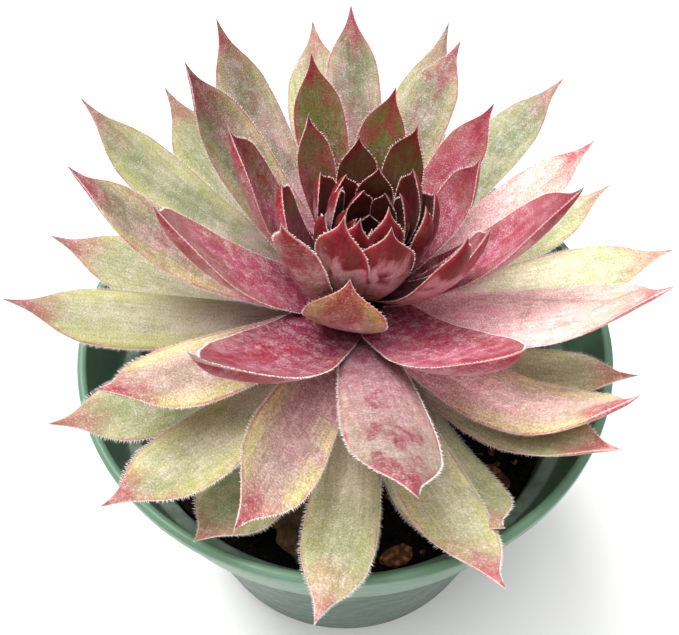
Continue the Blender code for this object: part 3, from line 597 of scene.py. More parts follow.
def pot_plastic(settings):
    """Injection-moulded polypropylene: satin, faintly cloudy, dusty on the ledge, soiled above the fill, with
    painted shade on the wall under the collar and on the inside wall.
    """
    made, tree = new_material("moulded_polypropylene")
    spot = add(tree, "TexCoord").outputs["Object"]
    height = add(tree, "SeparateXYZ", {0: spot}).outputs[2]
    inside = add(tree, "Attribute", attribute_name="inside").outputs["Fac"]

    # Flow clouds 20 mm across, spark-eroded grain 0.35 mm, and rubbed patches 3 mm across
    cloud = add(tree, "TexNoise", {"Vector": spot, "Scale": 50.0, "Detail": 3.0}).outputs[0]
    grain = add(tree, "TexNoise", {"Vector": spot, "Scale": 2800.0, "Detail": 2.0}).outputs[0]
    rubbed = add(tree, "TexNoise", {"Vector": spot, "Scale": 330.0, "Detail": 4.0,
                                    "Roughness": 0.65}).outputs[0]
    thick, thin = ([share * part for part in settings.plastic[:3]] + [1.0] for share in (0.93, 1.05))
    tone = add(tree, "ValToRGB", {"Fac": cloud}, stops=((0.3, thick), (0.7, thin))).outputs[0]

    # Painted shade: the wall below the collar, turned away from the light, is darkened to the wall colour
    ledge = POT_HEIGHT - COLLAR_DEPTH
    shade_under_collar = add(tree, "MapRange", {"Value": height, 1: ledge + 0.0015, 2: ledge - 0.0060}).outputs[0]
    tone = add(tree, "Mix", {0: shade_under_collar, 6: tone, 7: tuple(settings.wall)}, data_type="RGBA").outputs[2]

    # Painted shade: the inside wall, which light hardly reaches, is darkened towards green-black
    painted_inside_shade = add(tree, "Math", {0: inside, 1: 0.3}, operation="MULTIPLY").outputs[0]
    painted_inside_shade = add(tree, "Mix", {0: painted_inside_shade, 6: tone, 7: tuple(settings.painted_inside_shade)}, data_type="RGBA").outputs[2]

    # Dust that has settled on the ledge inside
    band = add(tree, "MapRange", {"Value": height, 1: ledge + 0.0042, 2: ledge + 0.0004}).outputs[0]
    band = add(tree, "Math", {0: band, 1: inside}, operation="MULTIPLY").outputs[0]
    dusty = add(tree, "MapRange", {"Value": rubbed, 1: 0.35, 2: 0.6, 3: 0.15, 4: 0.8}).outputs[0]
    dusty = add(tree, "Math", {0: dusty, 1: band}, operation="MULTIPLY", use_clamp=True).outputs[0]
    colour = add(tree, "Mix", {0: dusty, 6: painted_inside_shade, 7: tuple(settings.dust)}, data_type="RGBA").outputs[2]

    # Mix rubbed on the wall just above the fill
    low = add(tree, "MapRange", {"Value": height, 1: SOIL_EDGE_HEIGHT + 0.0060,
                                 2: SOIL_EDGE_HEIGHT + 0.0004}).outputs[0]
    low = add(tree, "Math", {0: low, 1: inside}, operation="MULTIPLY").outputs[0]
    soiled = add(tree, "MapRange", {"Value": rubbed, 1: 0.42, 2: 0.62}).outputs[0]
    soiled = add(tree, "Math", {0: soiled, 1: low}, operation="MULTIPLY", use_clamp=True).outputs[0]
    colour = add(tree, "Mix", {0: soiled, 6: colour, 7: tuple(settings.grime)}, data_type="RGBA").outputs[2]

    rough = add(tree, "MapRange", {"Value": rubbed, 1: 0.3, 2: 0.7, 3: 0.30, 4: 0.46}).outputs[0]
    relief = add(tree, "Math", {0: rubbed, 1: 0.6, 2: grain}, operation="MULTIPLY_ADD").outputs[0]
    bump = add(tree, "Bump", {"Strength": 0.22, "Distance": 0.00012, "Height": relief}).outputs[0]
    shader = add(tree, "BsdfPrincipled", {
        "Base Color": colour, "Roughness": rough, "Normal": bump, "IOR": 1.49,
        "Specular IOR Level": 0.35, "Subsurface Weight": 0.08,
        "Subsurface Radius": (0.6, 1.0, 0.7), "Subsurface Scale": 0.0012,
    })
    add(tree, "OutputMaterial", {"Surface": shader.outputs[0]})
    return made


def peat_mix(settings):
    """Moist peat: dark crumbly matter with fine fibres, almost no shine but for damp glints."""
    made, tree = new_material("moist_peat")
    spot = add(tree, "TexCoord").outputs["Object"]

    # Clumps 4 mm across and crumbs 0.6 mm across
    clump = add(tree, "TexNoise", {"Vector": spot, "Scale": 250.0, "Detail": 4.0,
                                   "Roughness": 0.7}).outputs[0]
    crumb = add(tree, "TexVoronoi", {"Vector": spot, "Scale": 1600.0}).outputs["Distance"]
    fleck = add(tree, "TexNoise", {"Vector": spot, "Scale": 1500.0, "Detail": 2.0}).outputs[0]
    tone = add(tree, "MapRange", {"Value": clump, 1: 0.5, 2: 0.75, 3: 0.0, 4: 0.8}).outputs[0]
    colour = add(tree, "Mix", {0: tone, 6: tuple(settings.peat), 7: tuple(settings.peat_dry)},
                 data_type="RGBA").outputs[2]
    bits = add(tree, "MapRange", {"Value": fleck, 1: 0.66, 2: 0.72, 3: 0.0, 4: 0.7}).outputs[0]
    colour = add(tree, "Mix", {0: bits, 6: colour, 7: tuple(settings.bark)}, data_type="RGBA").outputs[2]
    relief = add(tree, "Math", {0: crumb, 1: clump}, operation="ADD").outputs[0]
    bump = add(tree, "Bump", {"Strength": 0.8, "Distance": 0.0004, "Height": relief}).outputs[0]
    rough = add(tree, "MapRange", {"Value": clump, 1: 0.3, 2: 0.7, 3: 0.62, 4: 0.95}).outputs[0]
    shader = add(tree, "BsdfPrincipled", {"Base Color": colour, "Roughness": rough, "Normal": bump,
                                          "Specular IOR Level": 0.12})
    add(tree, "OutputMaterial", {"Surface": shader.outputs[0]})
    return made


def pine_bark(settings, name="composted_pine_bark", light="B5733C", dark="38190C"):
    """Composted pine bark: corky plates in layers, orange where freshly broken."""
    made, tree = new_material(name)
    spot = add(tree, "TexCoord").outputs["Object"]

    # Cork layers 0.4 mm thick and pits 1 mm across
    turned = add(tree, "Mapping", {"Vector": spot, "Rotation": (0.3, 0.2, 0.6),
                                   "Scale": (0.25, 1.0, 2.2)}).outputs[0]
    layer = add(tree, "TexNoise", {"Vector": turned, "Scale": 1100.0, "Detail": 3.0,
                                   "Distortion": 0.4}).outputs[0]
    pit = add(tree, "TexNoise", {"Vector": spot, "Scale": 900.0, "Detail": 3.0}).outputs[0]
    blend = add(tree, "Math", {0: layer, 1: 0.5, 2: pit}, operation="MULTIPLY_ADD").outputs[0]
    stops = ((0.55, linear(dark)), (0.75, tuple(settings.bark)), (0.95, linear(light)))
    tone = add(tree, "ValToRGB", {"Fac": blend}, stops=stops)
    bump = add(tree, "Bump", {"Strength": 0.7, "Distance": 0.0003, "Height": blend}).outputs[0]
    shader = add(tree, "BsdfPrincipled", {"Base Color": tone.outputs[0], "Roughness": 0.82, "Normal": bump})
    add(tree, "OutputMaterial", {"Surface": shader.outputs[0]})
    return made


def dry_tissue(name, light, dark, fibre_mm):
    """Dried leaf or stem tissue: papery fibres that run lengthwise, tan with brown staining."""
    made, tree = new_material(name)
    spot = add(tree, "TexCoord").outputs["Object"]
    stretched = add(tree, "Mapping", {"Vector": spot, "Scale": (1.0, 0.3, 0.3)}).outputs[0]
    fibre = add(tree, "TexNoise", {"Vector": stretched, "Scale": 1000.0 / fibre_mm, "Detail": 3.0}).outputs[0]
    stain = add(tree, "TexNoise", {"Vector": spot, "Scale": 350.0, "Detail": 4.0,
                                   "Roughness": 0.6}).outputs[0]
    blend = add(tree, "Math", {0: fibre, 1: 0.5, 2: stain}, operation="MULTIPLY_ADD").outputs[0]
    tone = add(tree, "ValToRGB", {"Fac": blend}, stops=((0.55, linear(dark)), (0.95, linear(light))))
    bump = add(tree, "Bump", {"Strength": 0.6, "Distance": 0.0003, "Height": blend}).outputs[0]
    shader = add(tree, "BsdfPrincipled", {"Base Color": tone.outputs[0], "Roughness": 0.78, "Normal": bump})
    add(tree, "OutputMaterial", {"Surface": shader.outputs[0]})
    return made


# Pot and potting mix


def pot_radius(height):
    """Outer radius of the pot's body below the step."""
    body_top = POT_HEIGHT - COLLAR_DEPTH
    top_radius = RIM_RADIUS - COLLAR_TAPER - STEP_WIDTH
    return BASE_RADIUS + (top_radius - BASE_RADIUS) * height / body_top


def pot_profile():
    """The moulded shell, down the outside, across the base and up the inside."""
    step_top = POT_HEIGHT - COLLAR_DEPTH
    step_low = step_top - STEP_HEIGHT
    collar_low = RIM_RADIUS - COLLAR_TAPER
    bead_low = POT_HEIGHT - RIM_BEAD
    ledge = step_top + CORNER
    inner_floor = pot_radius(FLOOR) - WALL
    inner_ledge = pot_radius(ledge) - WALL
    inner_collar = collar_low - WALL
    lip = [(math.sin(a), math.cos(a)) for a in (math.radians(k) for k in range(0, 91, 15))]
    middle = RIM_RADIUS - 0.5 * RIM_WALL
    over = [(middle + 0.5 * RIM_WALL * s, POT_HEIGHT - LIP * (1 - c)) for s, c in lip]
    back = [(middle - 0.5 * RIM_WALL * s, POT_HEIGHT - LIP * (1 - c)) for s, c in lip[:0:-1]]
    return over + [
        (RIM_RADIUS, bead_low + 0.3 * CORNER),
        (RIM_RADIUS - 0.2 * RIM_BEAD_STEP, bead_low),
        (RIM_RADIUS - RIM_BEAD_STEP, bead_low - RIM_BEAD_STEP),
        (RIM_RADIUS - RIM_BEAD_STEP - 0.00005, bead_low - 2 * RIM_BEAD_STEP),
        (collar_low, step_top + 0.4 * CORNER),
        (collar_low - 0.1 * CORNER, step_top),
        (collar_low - 0.4 * CORNER, step_top - 0.6 * CORNER),
        (collar_low - CORNER, step_top - CORNER),
        (pot_radius(step_low) + 0.3 * CORNER, step_low + 0.3 * CORNER),
        (pot_radius(step_low), step_low),
        (pot_radius(step_low - CORNER), step_low - CORNER),
        (pot_radius(FOOT_EDGE), FOOT_EDGE),
        (BASE_RADIUS - 0.1 * FOOT_EDGE, 0.6 * FOOT_EDGE),
        (BASE_RADIUS - 0.3 * FOOT_EDGE, 0.3 * FOOT_EDGE),
        (BASE_RADIUS - 0.6 * FOOT_EDGE, 0.1 * FOOT_EDGE),
        (BASE_RADIUS - FOOT_EDGE, 0.0),
        (FOOT_RING_INNER, 0.0),
        (FOOT_RING_INNER - CORNER, FOOT_GROOVE),
        (FOOT_PAD_RADIUS + CORNER, FOOT_GROOVE),
        (FOOT_PAD_RADIUS, 0.0),
        (0.0, 0.0),
        (0.0, FLOOR),
        (inner_floor - CORNER, FLOOR),
        (inner_floor, FLOOR + CORNER),
        (inner_ledge, ledge - 2 * CORNER),
        (inner_ledge + 0.3 * CORNER, ledge - CORNER),
        (inner_ledge + CORNER, ledge - 0.5 * CORNER),
        (inner_collar - CORNER, ledge + 0.5 * CORNER),
        (inner_collar - 0.3 * CORNER, ledge + CORNER),
        (inner_collar, ledge + 2 * CORNER),
    ] + back


def spun(profile, steps):
    """Spin a closed profile of (radius, height) about the Z axis into a closed bmesh."""
    shape = bmesh.new()
    points = [shape.verts.new((radius, 0.0, height)) for radius, height in profile]
    edges = [shape.edges.new(pair) for pair in zip(points, points[1:])]
    if profile[0][0] > 0:
        edges.append(shape.edges.new((points[-1], points[0])))
    bmesh.ops.spin(
        shape, geom=points + edges, cent=(0, 0, 0), axis=(0, 0, 1), angle=math.tau,
        steps=steps, use_merge=True
    )
    bmesh.ops.remove_doubles(shape, verts=shape.verts, dist=0.000005)
    bmesh.ops.recalc_face_normals(shape, faces=shape.faces)
    return shape


class HOUSELEEK_OT_pot(bpy.types.Operator):
    """Build the moulded pot with its drain holes"""

    bl_idname = "houseleek.pot"
    bl_label = "Pot"

    def execute(self, context):
        surface = pot_plastic(context.scene.houseleek_pot)
        shape = spun(pot_profile(), POT_STEPS)
        inside = shape.verts.layers.float.new("inside")
        for vert in shape.verts:
            below_ledge = vert.co.z < POT_HEIGHT - COLLAR_DEPTH
            wall = pot_radius(vert.co.z) if below_ledge else RIM_RADIUS - COLLAR_TAPER
            vert[inside] = 1.0 if vert.co.z > FOOT_EDGE and vert.co.xy.length < wall - 0.5 * WALL else 0.0
        pot = finished(shape, "pot_shell", surface, ["pot"])
        punches = bpy.data.collections.new("punches")
        context.scene.collection.children.link(punches)
        for hole in range(DRAIN_HOLES):
            angle = math.tau * (hole + 0.5) / DRAIN_HOLES
            place = Matrix.Translation((DRAIN_CIRCLE * math.cos(angle), DRAIN_CIRCLE * math.sin(angle), 0.0))
            shape = bmesh.new()
            bmesh.ops.create_cone(
                shape, cap_ends=True, segments=32, radius1=DRAIN_RADIUS, radius2=DRAIN_RADIUS,
                depth=4 * FLOOR, matrix=place
            )
            mesh = bpy.data.meshes.new("punch")
            shape.to_mesh(mesh)
            shape.free()
            punches.objects.link(bpy.data.objects.new("punch", mesh))
        cut = pot.modifiers.new("drains", "BOOLEAN")
        cut.operation, cut.solver = "DIFFERENCE", "EXACT"
        cut.operand_type, cut.collection = "COLLECTION", punches
        cut_mesh = bpy.data.meshes.new_from_object(pot.evaluated_get(context.evaluated_depsgraph_get()))
        pot.modifiers.clear()
        pot.data = cut_mesh
        for punch in list(punches.objects):
            bpy.data.objects.remove(punch, do_unlink=True)
        bpy.data.collections.remove(punches)
        if len(pot.data.polygons) < POT_STEPS:
            raise RuntimeError("the pot lost its faces when its drain holes were cut")
        pot.data.set_sharp_from_angle(angle=math.radians(40))
        return {"FINISHED"}


def soil_height(radius):
    """Height of the potting mix, which mounds up towards the stem."""
    inner = pot_radius(SOIL_EDGE_HEIGHT) - WALL
    rise = 0.5 + 0.5 * math.cos(math.pi * min(1.0, radius / inner))
    return SOIL_EDGE_HEIGHT + SOIL_MOUND * rise ** 1.3


def soil_relief(x, y, lump):
    """Uneven surface of the mix at a point: lumps, crumbs and pits."""
    spot = Vector((x, y, 0.0))
    return lump * (
        0.65 * noise.noise(spot / 0.0042)
        + 0.5 * noise.noise(spot / 0.0017)
        + 0.35 * noise.noise(spot / 0.0008)
    )


def ground(x, y, lump):
    return soil_height(math.hypot(x, y)) + soil_relief(x, y, lump)


def nugget(shape, size, squash, place, spin, scatter):
    """Add one irregular crumb to a bmesh."""
    made = bmesh.ops.create_icosphere(shape, subdivisions=1, radius=size)["verts"]
    for vert in made:
        vert.co *= scatter.uniform(0.72, 1.18)
        vert.co.z *= squash
    bmesh.ops.transform(shape, matrix=Matrix.Translation(place) @ spin, verts=made)


def random_turn(scatter, tilt):
    axis = Vector((scatter.uniform(-1, 1), scatter.uniform(-1, 1), 0.2)).normalized()
    heading = Matrix.Rotation(scatter.uniform(0, math.tau), 4, "Z")
    return heading @ Matrix.Rotation(scatter.uniform(0, tilt), 4, axis)


def gathered(makers):
    """One bmesh from many small ones, each filled by its own maker."""
    whole = bmesh.new()
    for maker in makers:
        small = bmesh.new()
        maker(small)
        scrap = bpy.data.meshes.new("scrap")
        small.to_mesh(scrap)
        small.free()
        whole.from_mesh(scrap)
        bpy.data.meshes.remove(scrap)
    return whole


class HOUSELEEK_OT_mix(bpy.types.Operator):
    """Fill the pot with peat mix and strew its crumbs"""

    bl_idname = "houseleek.mix"
    bl_label = "Potting mix"

    def execute(self, context):
        settings = context.scene.houseleek_mix
        peat = peat_mix(settings)
        hole = STEM_RADIUS + STEM_HOLE_CLEARANCE
        seat = soil_height(hole) - STEM_SEAT
        edge = pot_radius(SOIL_EDGE_HEIGHT) - WALL - GAP
        low = FLOOR + GAP
        top = [hole + (edge - hole) * k / SOIL_RINGS for k in range(SOIL_RINGS, -1, -1)]
        foot = pot_radius(FLOOR) - WALL
        profile = [(0.0, low), (foot - 4 * GAP, low), (foot - GAP, low + 3 * GAP)]
        profile += [(radius, soil_height(radius)) for radius in top]
        profile += [(hole, seat), (0.0, seat)]
        shape = spun(profile, SOIL_STEPS)
        for vert in shape.verts:
            radius = vert.co.xy.length
            if vert.co.z > SOIL_EDGE_HEIGHT - GAP and hole < radius <= edge + GAP:
                relief = soil_relief(vert.co.x, vert.co.y, settings.lump)
                vert.co.z += relief * ease(radius, hole, hole + 0.001)
        finished(shape, "peat_fill", peat, ["soil"])

        # Loose crumbs and bark flakes, strewn evenly over the mix between the stem and the wall
        scatter = random.Random(11)
        crumbs, flakes = [], []
        for count in range(settings.crumbs):
            radius = math.sqrt(scatter.uniform((hole + 0.002) ** 2, (edge - 0.0014) ** 2))
            angle = scatter.uniform(0, math.tau)
            x, y = radius * math.cos(angle), radius * math.sin(angle)
            flake = count % 9 == 0
            size = scatter.uniform(0.0006, 0.0014) if flake else scatter.uniform(0.00025, 0.0009)
            place = Vector((x, y, ground(x, y, settings.lump) + 0.25 * size))
            squash = 0.45 if flake else scatter.uniform(0.6, 1.0)
            job = (size, squash, place, random_turn(scatter, 0.8))
            (flakes if flake else crumbs).append(job)
        for name, jobs, surface, slot in (
            ("peat_crumbs", crumbs, peat, "potting_mix"),
            ("bark_flakes", flakes, pine_bark(settings, "fine_pine_bark"), "bark"),
        ):
            makers = [lambda small, job=job: nugget(small, *job, scatter) for job in jobs]
            finished(gathered(makers), name, surface)
        return {"FINISHED"}


class HOUSELEEK_OT_chips(bpy.types.Operator):
    """Give the bark chips broken edges and corky faces"""

    bl_idname = "houseleek.chips"
    bl_label = "Bark chips"

    def execute(self, context):
        surface = pine_bark(context.scene.houseleek_mix)
        for name in sorted(frame["nodes"]):
            if not name.startswith("bark_chip_"):
                continue
            shape = bmesh.new()
            shape.from_mesh(frame["nodes"][name].data)
            bmesh.ops.remove_doubles(shape, verts=shape.verts, dist=0.00002)
            bmesh.ops.bevel(
                shape, geom=shape.verts[:] + shape.edges[:], offset=0.00018, offset_type="OFFSET", segments=2,
                profile=0.5, affect="EDGES", material=-1, clamp_overlap=True
            )
            bmesh.ops.triangulate(shape, faces=shape.faces)
            bmesh.ops.subdivide_edges(shape, edges=shape.edges, cuts=2, use_grid_fill=True)
            bmesh.ops.triangulate(shape, faces=shape.faces)
            shape.normal_update()
            for vert in shape.verts:
                pit = noise.noise(vert.co / 0.0011) + 0.6 * noise.noise(vert.co / 0.0005)
                vert.co -= vert.normal * 0.00016 * (0.6 + pit)
            finished(shape, "corky_" + name, surface, [name])
        return {"FINISHED"}


class HOUSELEEK_OT_withered_leaf(bpy.types.Operator):
    """Lay the dried leaf on the mix"""

    bl_idname = "houseleek.withered_leaf"
    bl_label = "Withered leaf"

    def execute(self, context):
        low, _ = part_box("withered_leaf")
        start, end = Vector((*WITHERED_START, 0)), Vector((*WITHERED_END, 0))
        side = (end - start).cross(Vector((0, 0, 1))).normalized()
        shape = bmesh.new()
        rings = []
        stations, around = 26, 20
        for row in range(stations + 1):
            place = row / stations
            half = 0.5 * WITHERED_WIDTH * max(0.06, flow(OUTLINE, place))
            half *= 1 + 0.12 * noise.noise(Vector((9 * place, 4.0, 1.0)))
            middle = start.lerp(end, place)
            rest = soil_height(middle.xy.length) + 0.0012
            ring = []
            for k in range(around):
                turn = math.tau * k / around
                across, face = math.cos(turn), math.sin(turn)
                spot = middle + side * (half * across)
                curl = WITHERED_CURL * (across ** 2 * (0.4 + place) + 0.6 * place ** 3)
                crease = 0.00035 * noise.noise(Vector((7 * place, 2.6 * across, 7.0)))
                spot.z = rest + curl + crease + 0.5 * WITHERED_THICKNESS * face * (1 - 0.5 * across ** 2)
                ring.append(spot)
            rings.append(ring)
        spots = rolled(shape, rings)
        close_tube(shape, list(spots))
        lift = low.z - min(vert.co.z for vert in shape.verts)
        bmesh.ops.translate(shape, verts=shape.verts, vec=(0, 0, lift))
        surface = dry_tissue("dried_leaf_tissue", "8E6C48", "4A3220", 0.5)
        finished(shape, "dried_leaf", surface, ["withered_leaf"])
        return {"FINISHED"}


# Rosette


def tier_of(number):
    return sum(number >= tier[1] for tier in TIERS) - 1


def leaf(number):
    """Pose and size of one leaf in the rosette's own frame."""
    habit = HABITS.get(number, {})
    return {
        "number": number,
        "azimuth": math.radians(FIRST_AZIMUTH + DIVERGENCE * number + habit.get("turn", 0)),
        "rise": math.radians(mix(RISE, number) + habit.get("lift", 0)),
        "length": mix(LENGTH, number) * habit.get("long", 1),
        "width": mix(WIDTH, number) * habit.get("wide", 1),
        "thickness": mix(THICKNESS, number),
        "inset": mix(ROOT_INSET, number),
        "height": LEAF_PITCH * number + TIER_STEP * tier_of(number),
        "arch": mix(ARCH, number) + habit.get("arch", 0),
        "sweep": habit.get("sweep", 0),
        "taper": habit.get("taper", 0),
        "hook": mix(HOOK, number) + habit.get("hook", 0),
        "roll": math.radians(habit.get("roll", 0)),
        "channel": mix(CHANNEL, number) + habit.get("channel", 0),
    }


def leaf_axes(form):
    """Along, sideways and upwards directions of a leaf's chord."""
    turn, rise = form["azimuth"], form["rise"]
    along = Vector((math.cos(rise) * math.cos(turn), math.cos(rise) * math.sin(turn), math.sin(rise)))
    side = Vector((-math.sin(turn), math.cos(turn), 0.0))
    return along, side, along.cross(side)


def midrib(form, place):
    """Point on the leaf's middle line, 0 at the root and 1 at the tip."""
    along, side, up = leaf_axes(form)
    turn = form["azimuth"]
    root = Vector((form["inset"] * math.cos(turn), form["inset"] * math.sin(turn), form["height"]))
    tip = max(0.0, (place - 0.7) / 0.3)
    lift = 4 * form["arch"] * place * (1 - place) + form["hook"] * (tip ** 2 - place ** 3)
    bend = 4 * form["sweep"] * place * (1 - place)
    return root + form["length"] * (place * along + lift * up + bend * side)


def station(form, place):
    """Middle point, running, level and upward directions, and half width of a leaf at a place."""
    step = 0.001
    ahead = (midrib(form, min(1, place + step)) - midrib(form, max(0, place - step))).normalized()
    _, side, _ = leaf_axes(form)
    side = (side - ahead * side.dot(ahead)).normalized()
    up = ahead.cross(side)
    twist = form["roll"] * place
    level = side * math.cos(twist) + up * math.sin(twist)
    normal = up * math.cos(twist) - side * math.sin(twist)
    half = 0.5 * form["width"] * max(0.0, flow(OUTLINE, place)) * (1 - form["taper"] * place ** 3)
    half *= 1 + 0.025 * noise.noise(Vector((6 * place, form["number"], 0.5)))
    return midrib(form, place), ahead, level, normal, half


def rosette_matrix():
    """From the rosette's own frame to the pot's."""
    to_right = Matrix.Rotation(math.radians(LEAN_RIGHT), 4, "Y")
    to_front = Matrix.Rotation(math.radians(LEAN_FRONT), 4, "X")
    return Matrix.Translation(CROWN) @ (to_right @ to_front)


def leaf_numbers(tier):
    last = TIERS[tier + 1][1] if tier + 1 < len(TIERS) else LEAF_COUNT
    return [number for number in range(TIERS[tier][1], last) if number not in LOST]


def grow_leaf(shape, layers, number, rows, around):
    """Add one closed leaf to a bmesh, with what its skin needs to know written on its points."""
    form = leaf(number)
    tint = COLOURING.get(number, {})
    habit = Vector([
        tint.get(key, mix(usual, number)) for key, usual in (("wash", WASH), ("blotch", BLOTCH), ("sun", SUN))
    ])
    # mood holds the olive clouds, the tip and the painted shade at the root
    mood = Vector([
        tint.get(key, mix(usual, number)) for key, usual in (("olive", OLIVE), ("tip", TIP), ("root_shade", ROOT_SHADE))
    ])
    rings, notes = [], []
    for row in range(rows + 1):
        place = 1 - (1 - row / rows) ** 1.25
        middle, _, level, normal, half = station(form, place)
        bulk = form["thickness"] * mix(BULK, place)
        ring, note = [], []
        for k in range(around):
            turn = math.tau * k / around
            across, face = math.cos(turn), math.sin(turn)
            share = 0.25 if face > 0 else -0.75
            dip = form["channel"] * (0.6 + 0.6 * place) * half * across ** 2
            ripple = 0.00010 * noise.noise(Vector((14 * place, 1.5 * across, number * 3.1))) * (1 - place)
            swell = share * bulk * (1 - across ** 2) ** 0.7
            ring.append(middle + level * (half * across) + normal * (dip + swell + ripple))
            note.append((Vector((across, place, 1.0 if face >= 0 else 0.0)),
                         Vector((1000 * half * across, 1000 * form["length"] * place, 9.0 * number)),
                         1000 * half * (1 - abs(across))))
        rings.append(ring)
        notes.append(note)
    spots = rolled(shape, rings)
    for vert, (row, k) in spots.items():
        for layer, value in zip(layers, (*notes[row][k], habit, mood, tint.get("depth", 1.0))):
            vert[layer] = value
    close_tube(shape, list(spots))


class HOUSELEEK_OT_leaves(bpy.types.Operator):
    """Grow the four tiers of leaves round their cores"""

    bl_idname = "houseleek.leaves"
    bl_label = "Leaves"

    def execute(self, context):
        for tier, (name, _, foot, top, below) in enumerate(TIERS):
            numbers = leaf_numbers(tier)
            shape = bmesh.new()
            kinds = shape.verts.layers
            layers = [
                kinds.float_vector.new("place"), kinds.float_vector.new("skin_mm"),
                kinds.float.new("margin_mm"), kinds.float_vector.new("habit"),
                kinds.float_vector.new("mood"), kinds.float.new("depth")
            ]
            low = LEAF_PITCH * TIERS[tier][1] + TIER_STEP * tier - below
            high = LEAF_PITCH * numbers[-1] + TIER_STEP * tier + CORE_ABOVE
            bmesh.ops.create_cone(
                shape, cap_ends=True, segments=40, radius1=foot, radius2=top, depth=high - low,
                matrix=Matrix.Translation((0, 0, (low + high) / 2))
            )
            rows, around = HEART_GRID if name == "heart" else LEAF_GRID
            for number in numbers:
                grow_leaf(shape, layers, number, rows, around)
            bmesh.ops.transform(shape, matrix=rosette_matrix(), verts=shape.verts)
            surface = leaf_skin(f"living_{name}_skin", SKIN_TONES[name])
            piece = finished(shape, f"fleshy_{name}", surface, [name])
            piece.data.set_sharp_from_angle(angle=math.radians(75))
        return {"FINISHED"}


def fringe(small, form, length, spacing, radius, scatter):
    """Add the hairs along both margins of one leaf to a bmesh."""
    count = int(0.8 * form["length"] / spacing)
    for side in (-1, 1):
        for k in range(count):
            place = 0.17 + 0.80 * (k + scatter.uniform(-0.35, 0.35)) / count
            middle, ahead, level, normal, half = station(form, place)
            dip = form["channel"] * (0.6 + 0.6 * place) * half
            root = middle + level * (side * (half - radius)) + normal * dip
            lean = scatter.uniform(0.25, 0.95)
            way = level * side + ahead * lean + normal * scatter.uniform(-0.35, 0.35)
            long = length * scatter.uniform(0.6, 1.1) * (1 - 0.5 * ease(place, 0.85, 0.97))
            pose = way.to_track_quat("Z", "X").to_matrix().to_4x4()
            place_hair = Matrix.Translation(root) @ pose @ Matrix.Translation((0, 0, 0.5 * long))
            bmesh.ops.create_cone(small, cap_ends=True, segments=3, radius1=radius, radius2=0.0, depth=long,
                                  matrix=place_hair)


class HOUSELEEK_OT_hairs(bpy.types.Operator):
    """Set the pale hairs along the margins of the leaves"""

    bl_idname = "houseleek.hairs"
    bl_label = "Margin hairs"

    def execute(self, context):
        settings = context.scene.houseleek_rosette
        surface = leaf_hair(settings)
        scatter = random.Random(4)
        for tier, (name, *_) in enumerate(TIERS):
            share = tier / (len(TIERS) - 1)
            length, step, root = (
                getattr(settings, "outer_" + kind) * (1 - share) + getattr(settings, "heart_" + kind) * share
                for kind in ("hair", "step", "root")
            )
            makers = [
                lambda small, number=number: fringe(small, leaf(number), length, step, root, scatter)
                for number in leaf_numbers(tier)
            ]
            shape = gathered(makers)
            bmesh.ops.transform(shape, matrix=rosette_matrix(), verts=shape.verts)
            finished(shape, f"hairs_of_{name}", surface)
        return {"FINISHED"}


class HOUSELEEK_OT_stem(bpy.types.Operator):
    """Build the short stem with its leaf scars"""

    bl_idname = "houseleek.stem"
    bl_label = "Stem"

    def execute(self, context):
        lean = rosette_matrix()
        top = lean @ Vector((0, 0, -TIERS[0][4] - GAP))
        leaned = lean.to_3x3() @ Vector((0, 0, 1))
        low = soil_height(STEM_RADIUS + STEM_HOLE_CLEARANCE) - STEM_SEAT + GAP
        bend = soil_height(0.0) + GAP
        around, rings = 60, []
        for row in range(61):
            share = row / 60
            height = low + (top.z - low) * share
            rise = min(1.0, max(0.0, (height - bend) / (top.z - bend)))
            blend = rise * rise * (3 - 2 * rise)
            centre = Vector((top.x * blend, top.y * blend, height))
            axis = Vector((0, 0, 1)).lerp(leaned, blend).normalized()
            east = (Vector((1, 0, 0)) - axis * axis.x).normalized()
            north = axis.cross(east)
            radius = STEM_RADIUS + (STEM_TOP_RADIUS - STEM_RADIUS) * rise - 0.0001
            ring = []
            for k in range(around):
                turn = math.tau * k / around
                # Leaf scars run round the stem in two crossing spirals about 2 mm apart
                scar = math.sin(5 * turn + share * 42) * math.sin(8 * turn - share * 34)
                rough = noise.noise(Vector((4 * math.cos(turn), 4 * math.sin(turn), 30 * share)))
                reach = radius - 0.0003 * (0.5 + 0.5 * scar) - 0.0002 * abs(rough)
                if row == 0:
                    reach -= 0.001
                ring.append(centre + reach * (math.cos(turn) * east + math.sin(turn) * north))
            rings.append(ring)
        shape = bmesh.new()
        spots = rolled(shape, rings)
        close_tube(shape, list(spots))
        surface = dry_tissue("woody_stem", "8A6B4C", "3A281A", 0.7)
        piece = finished(shape, "scarred_stem", surface, ["stem"])
        piece.data.set_sharp_from_angle(angle=math.radians(60))
        return {"FINISHED"}


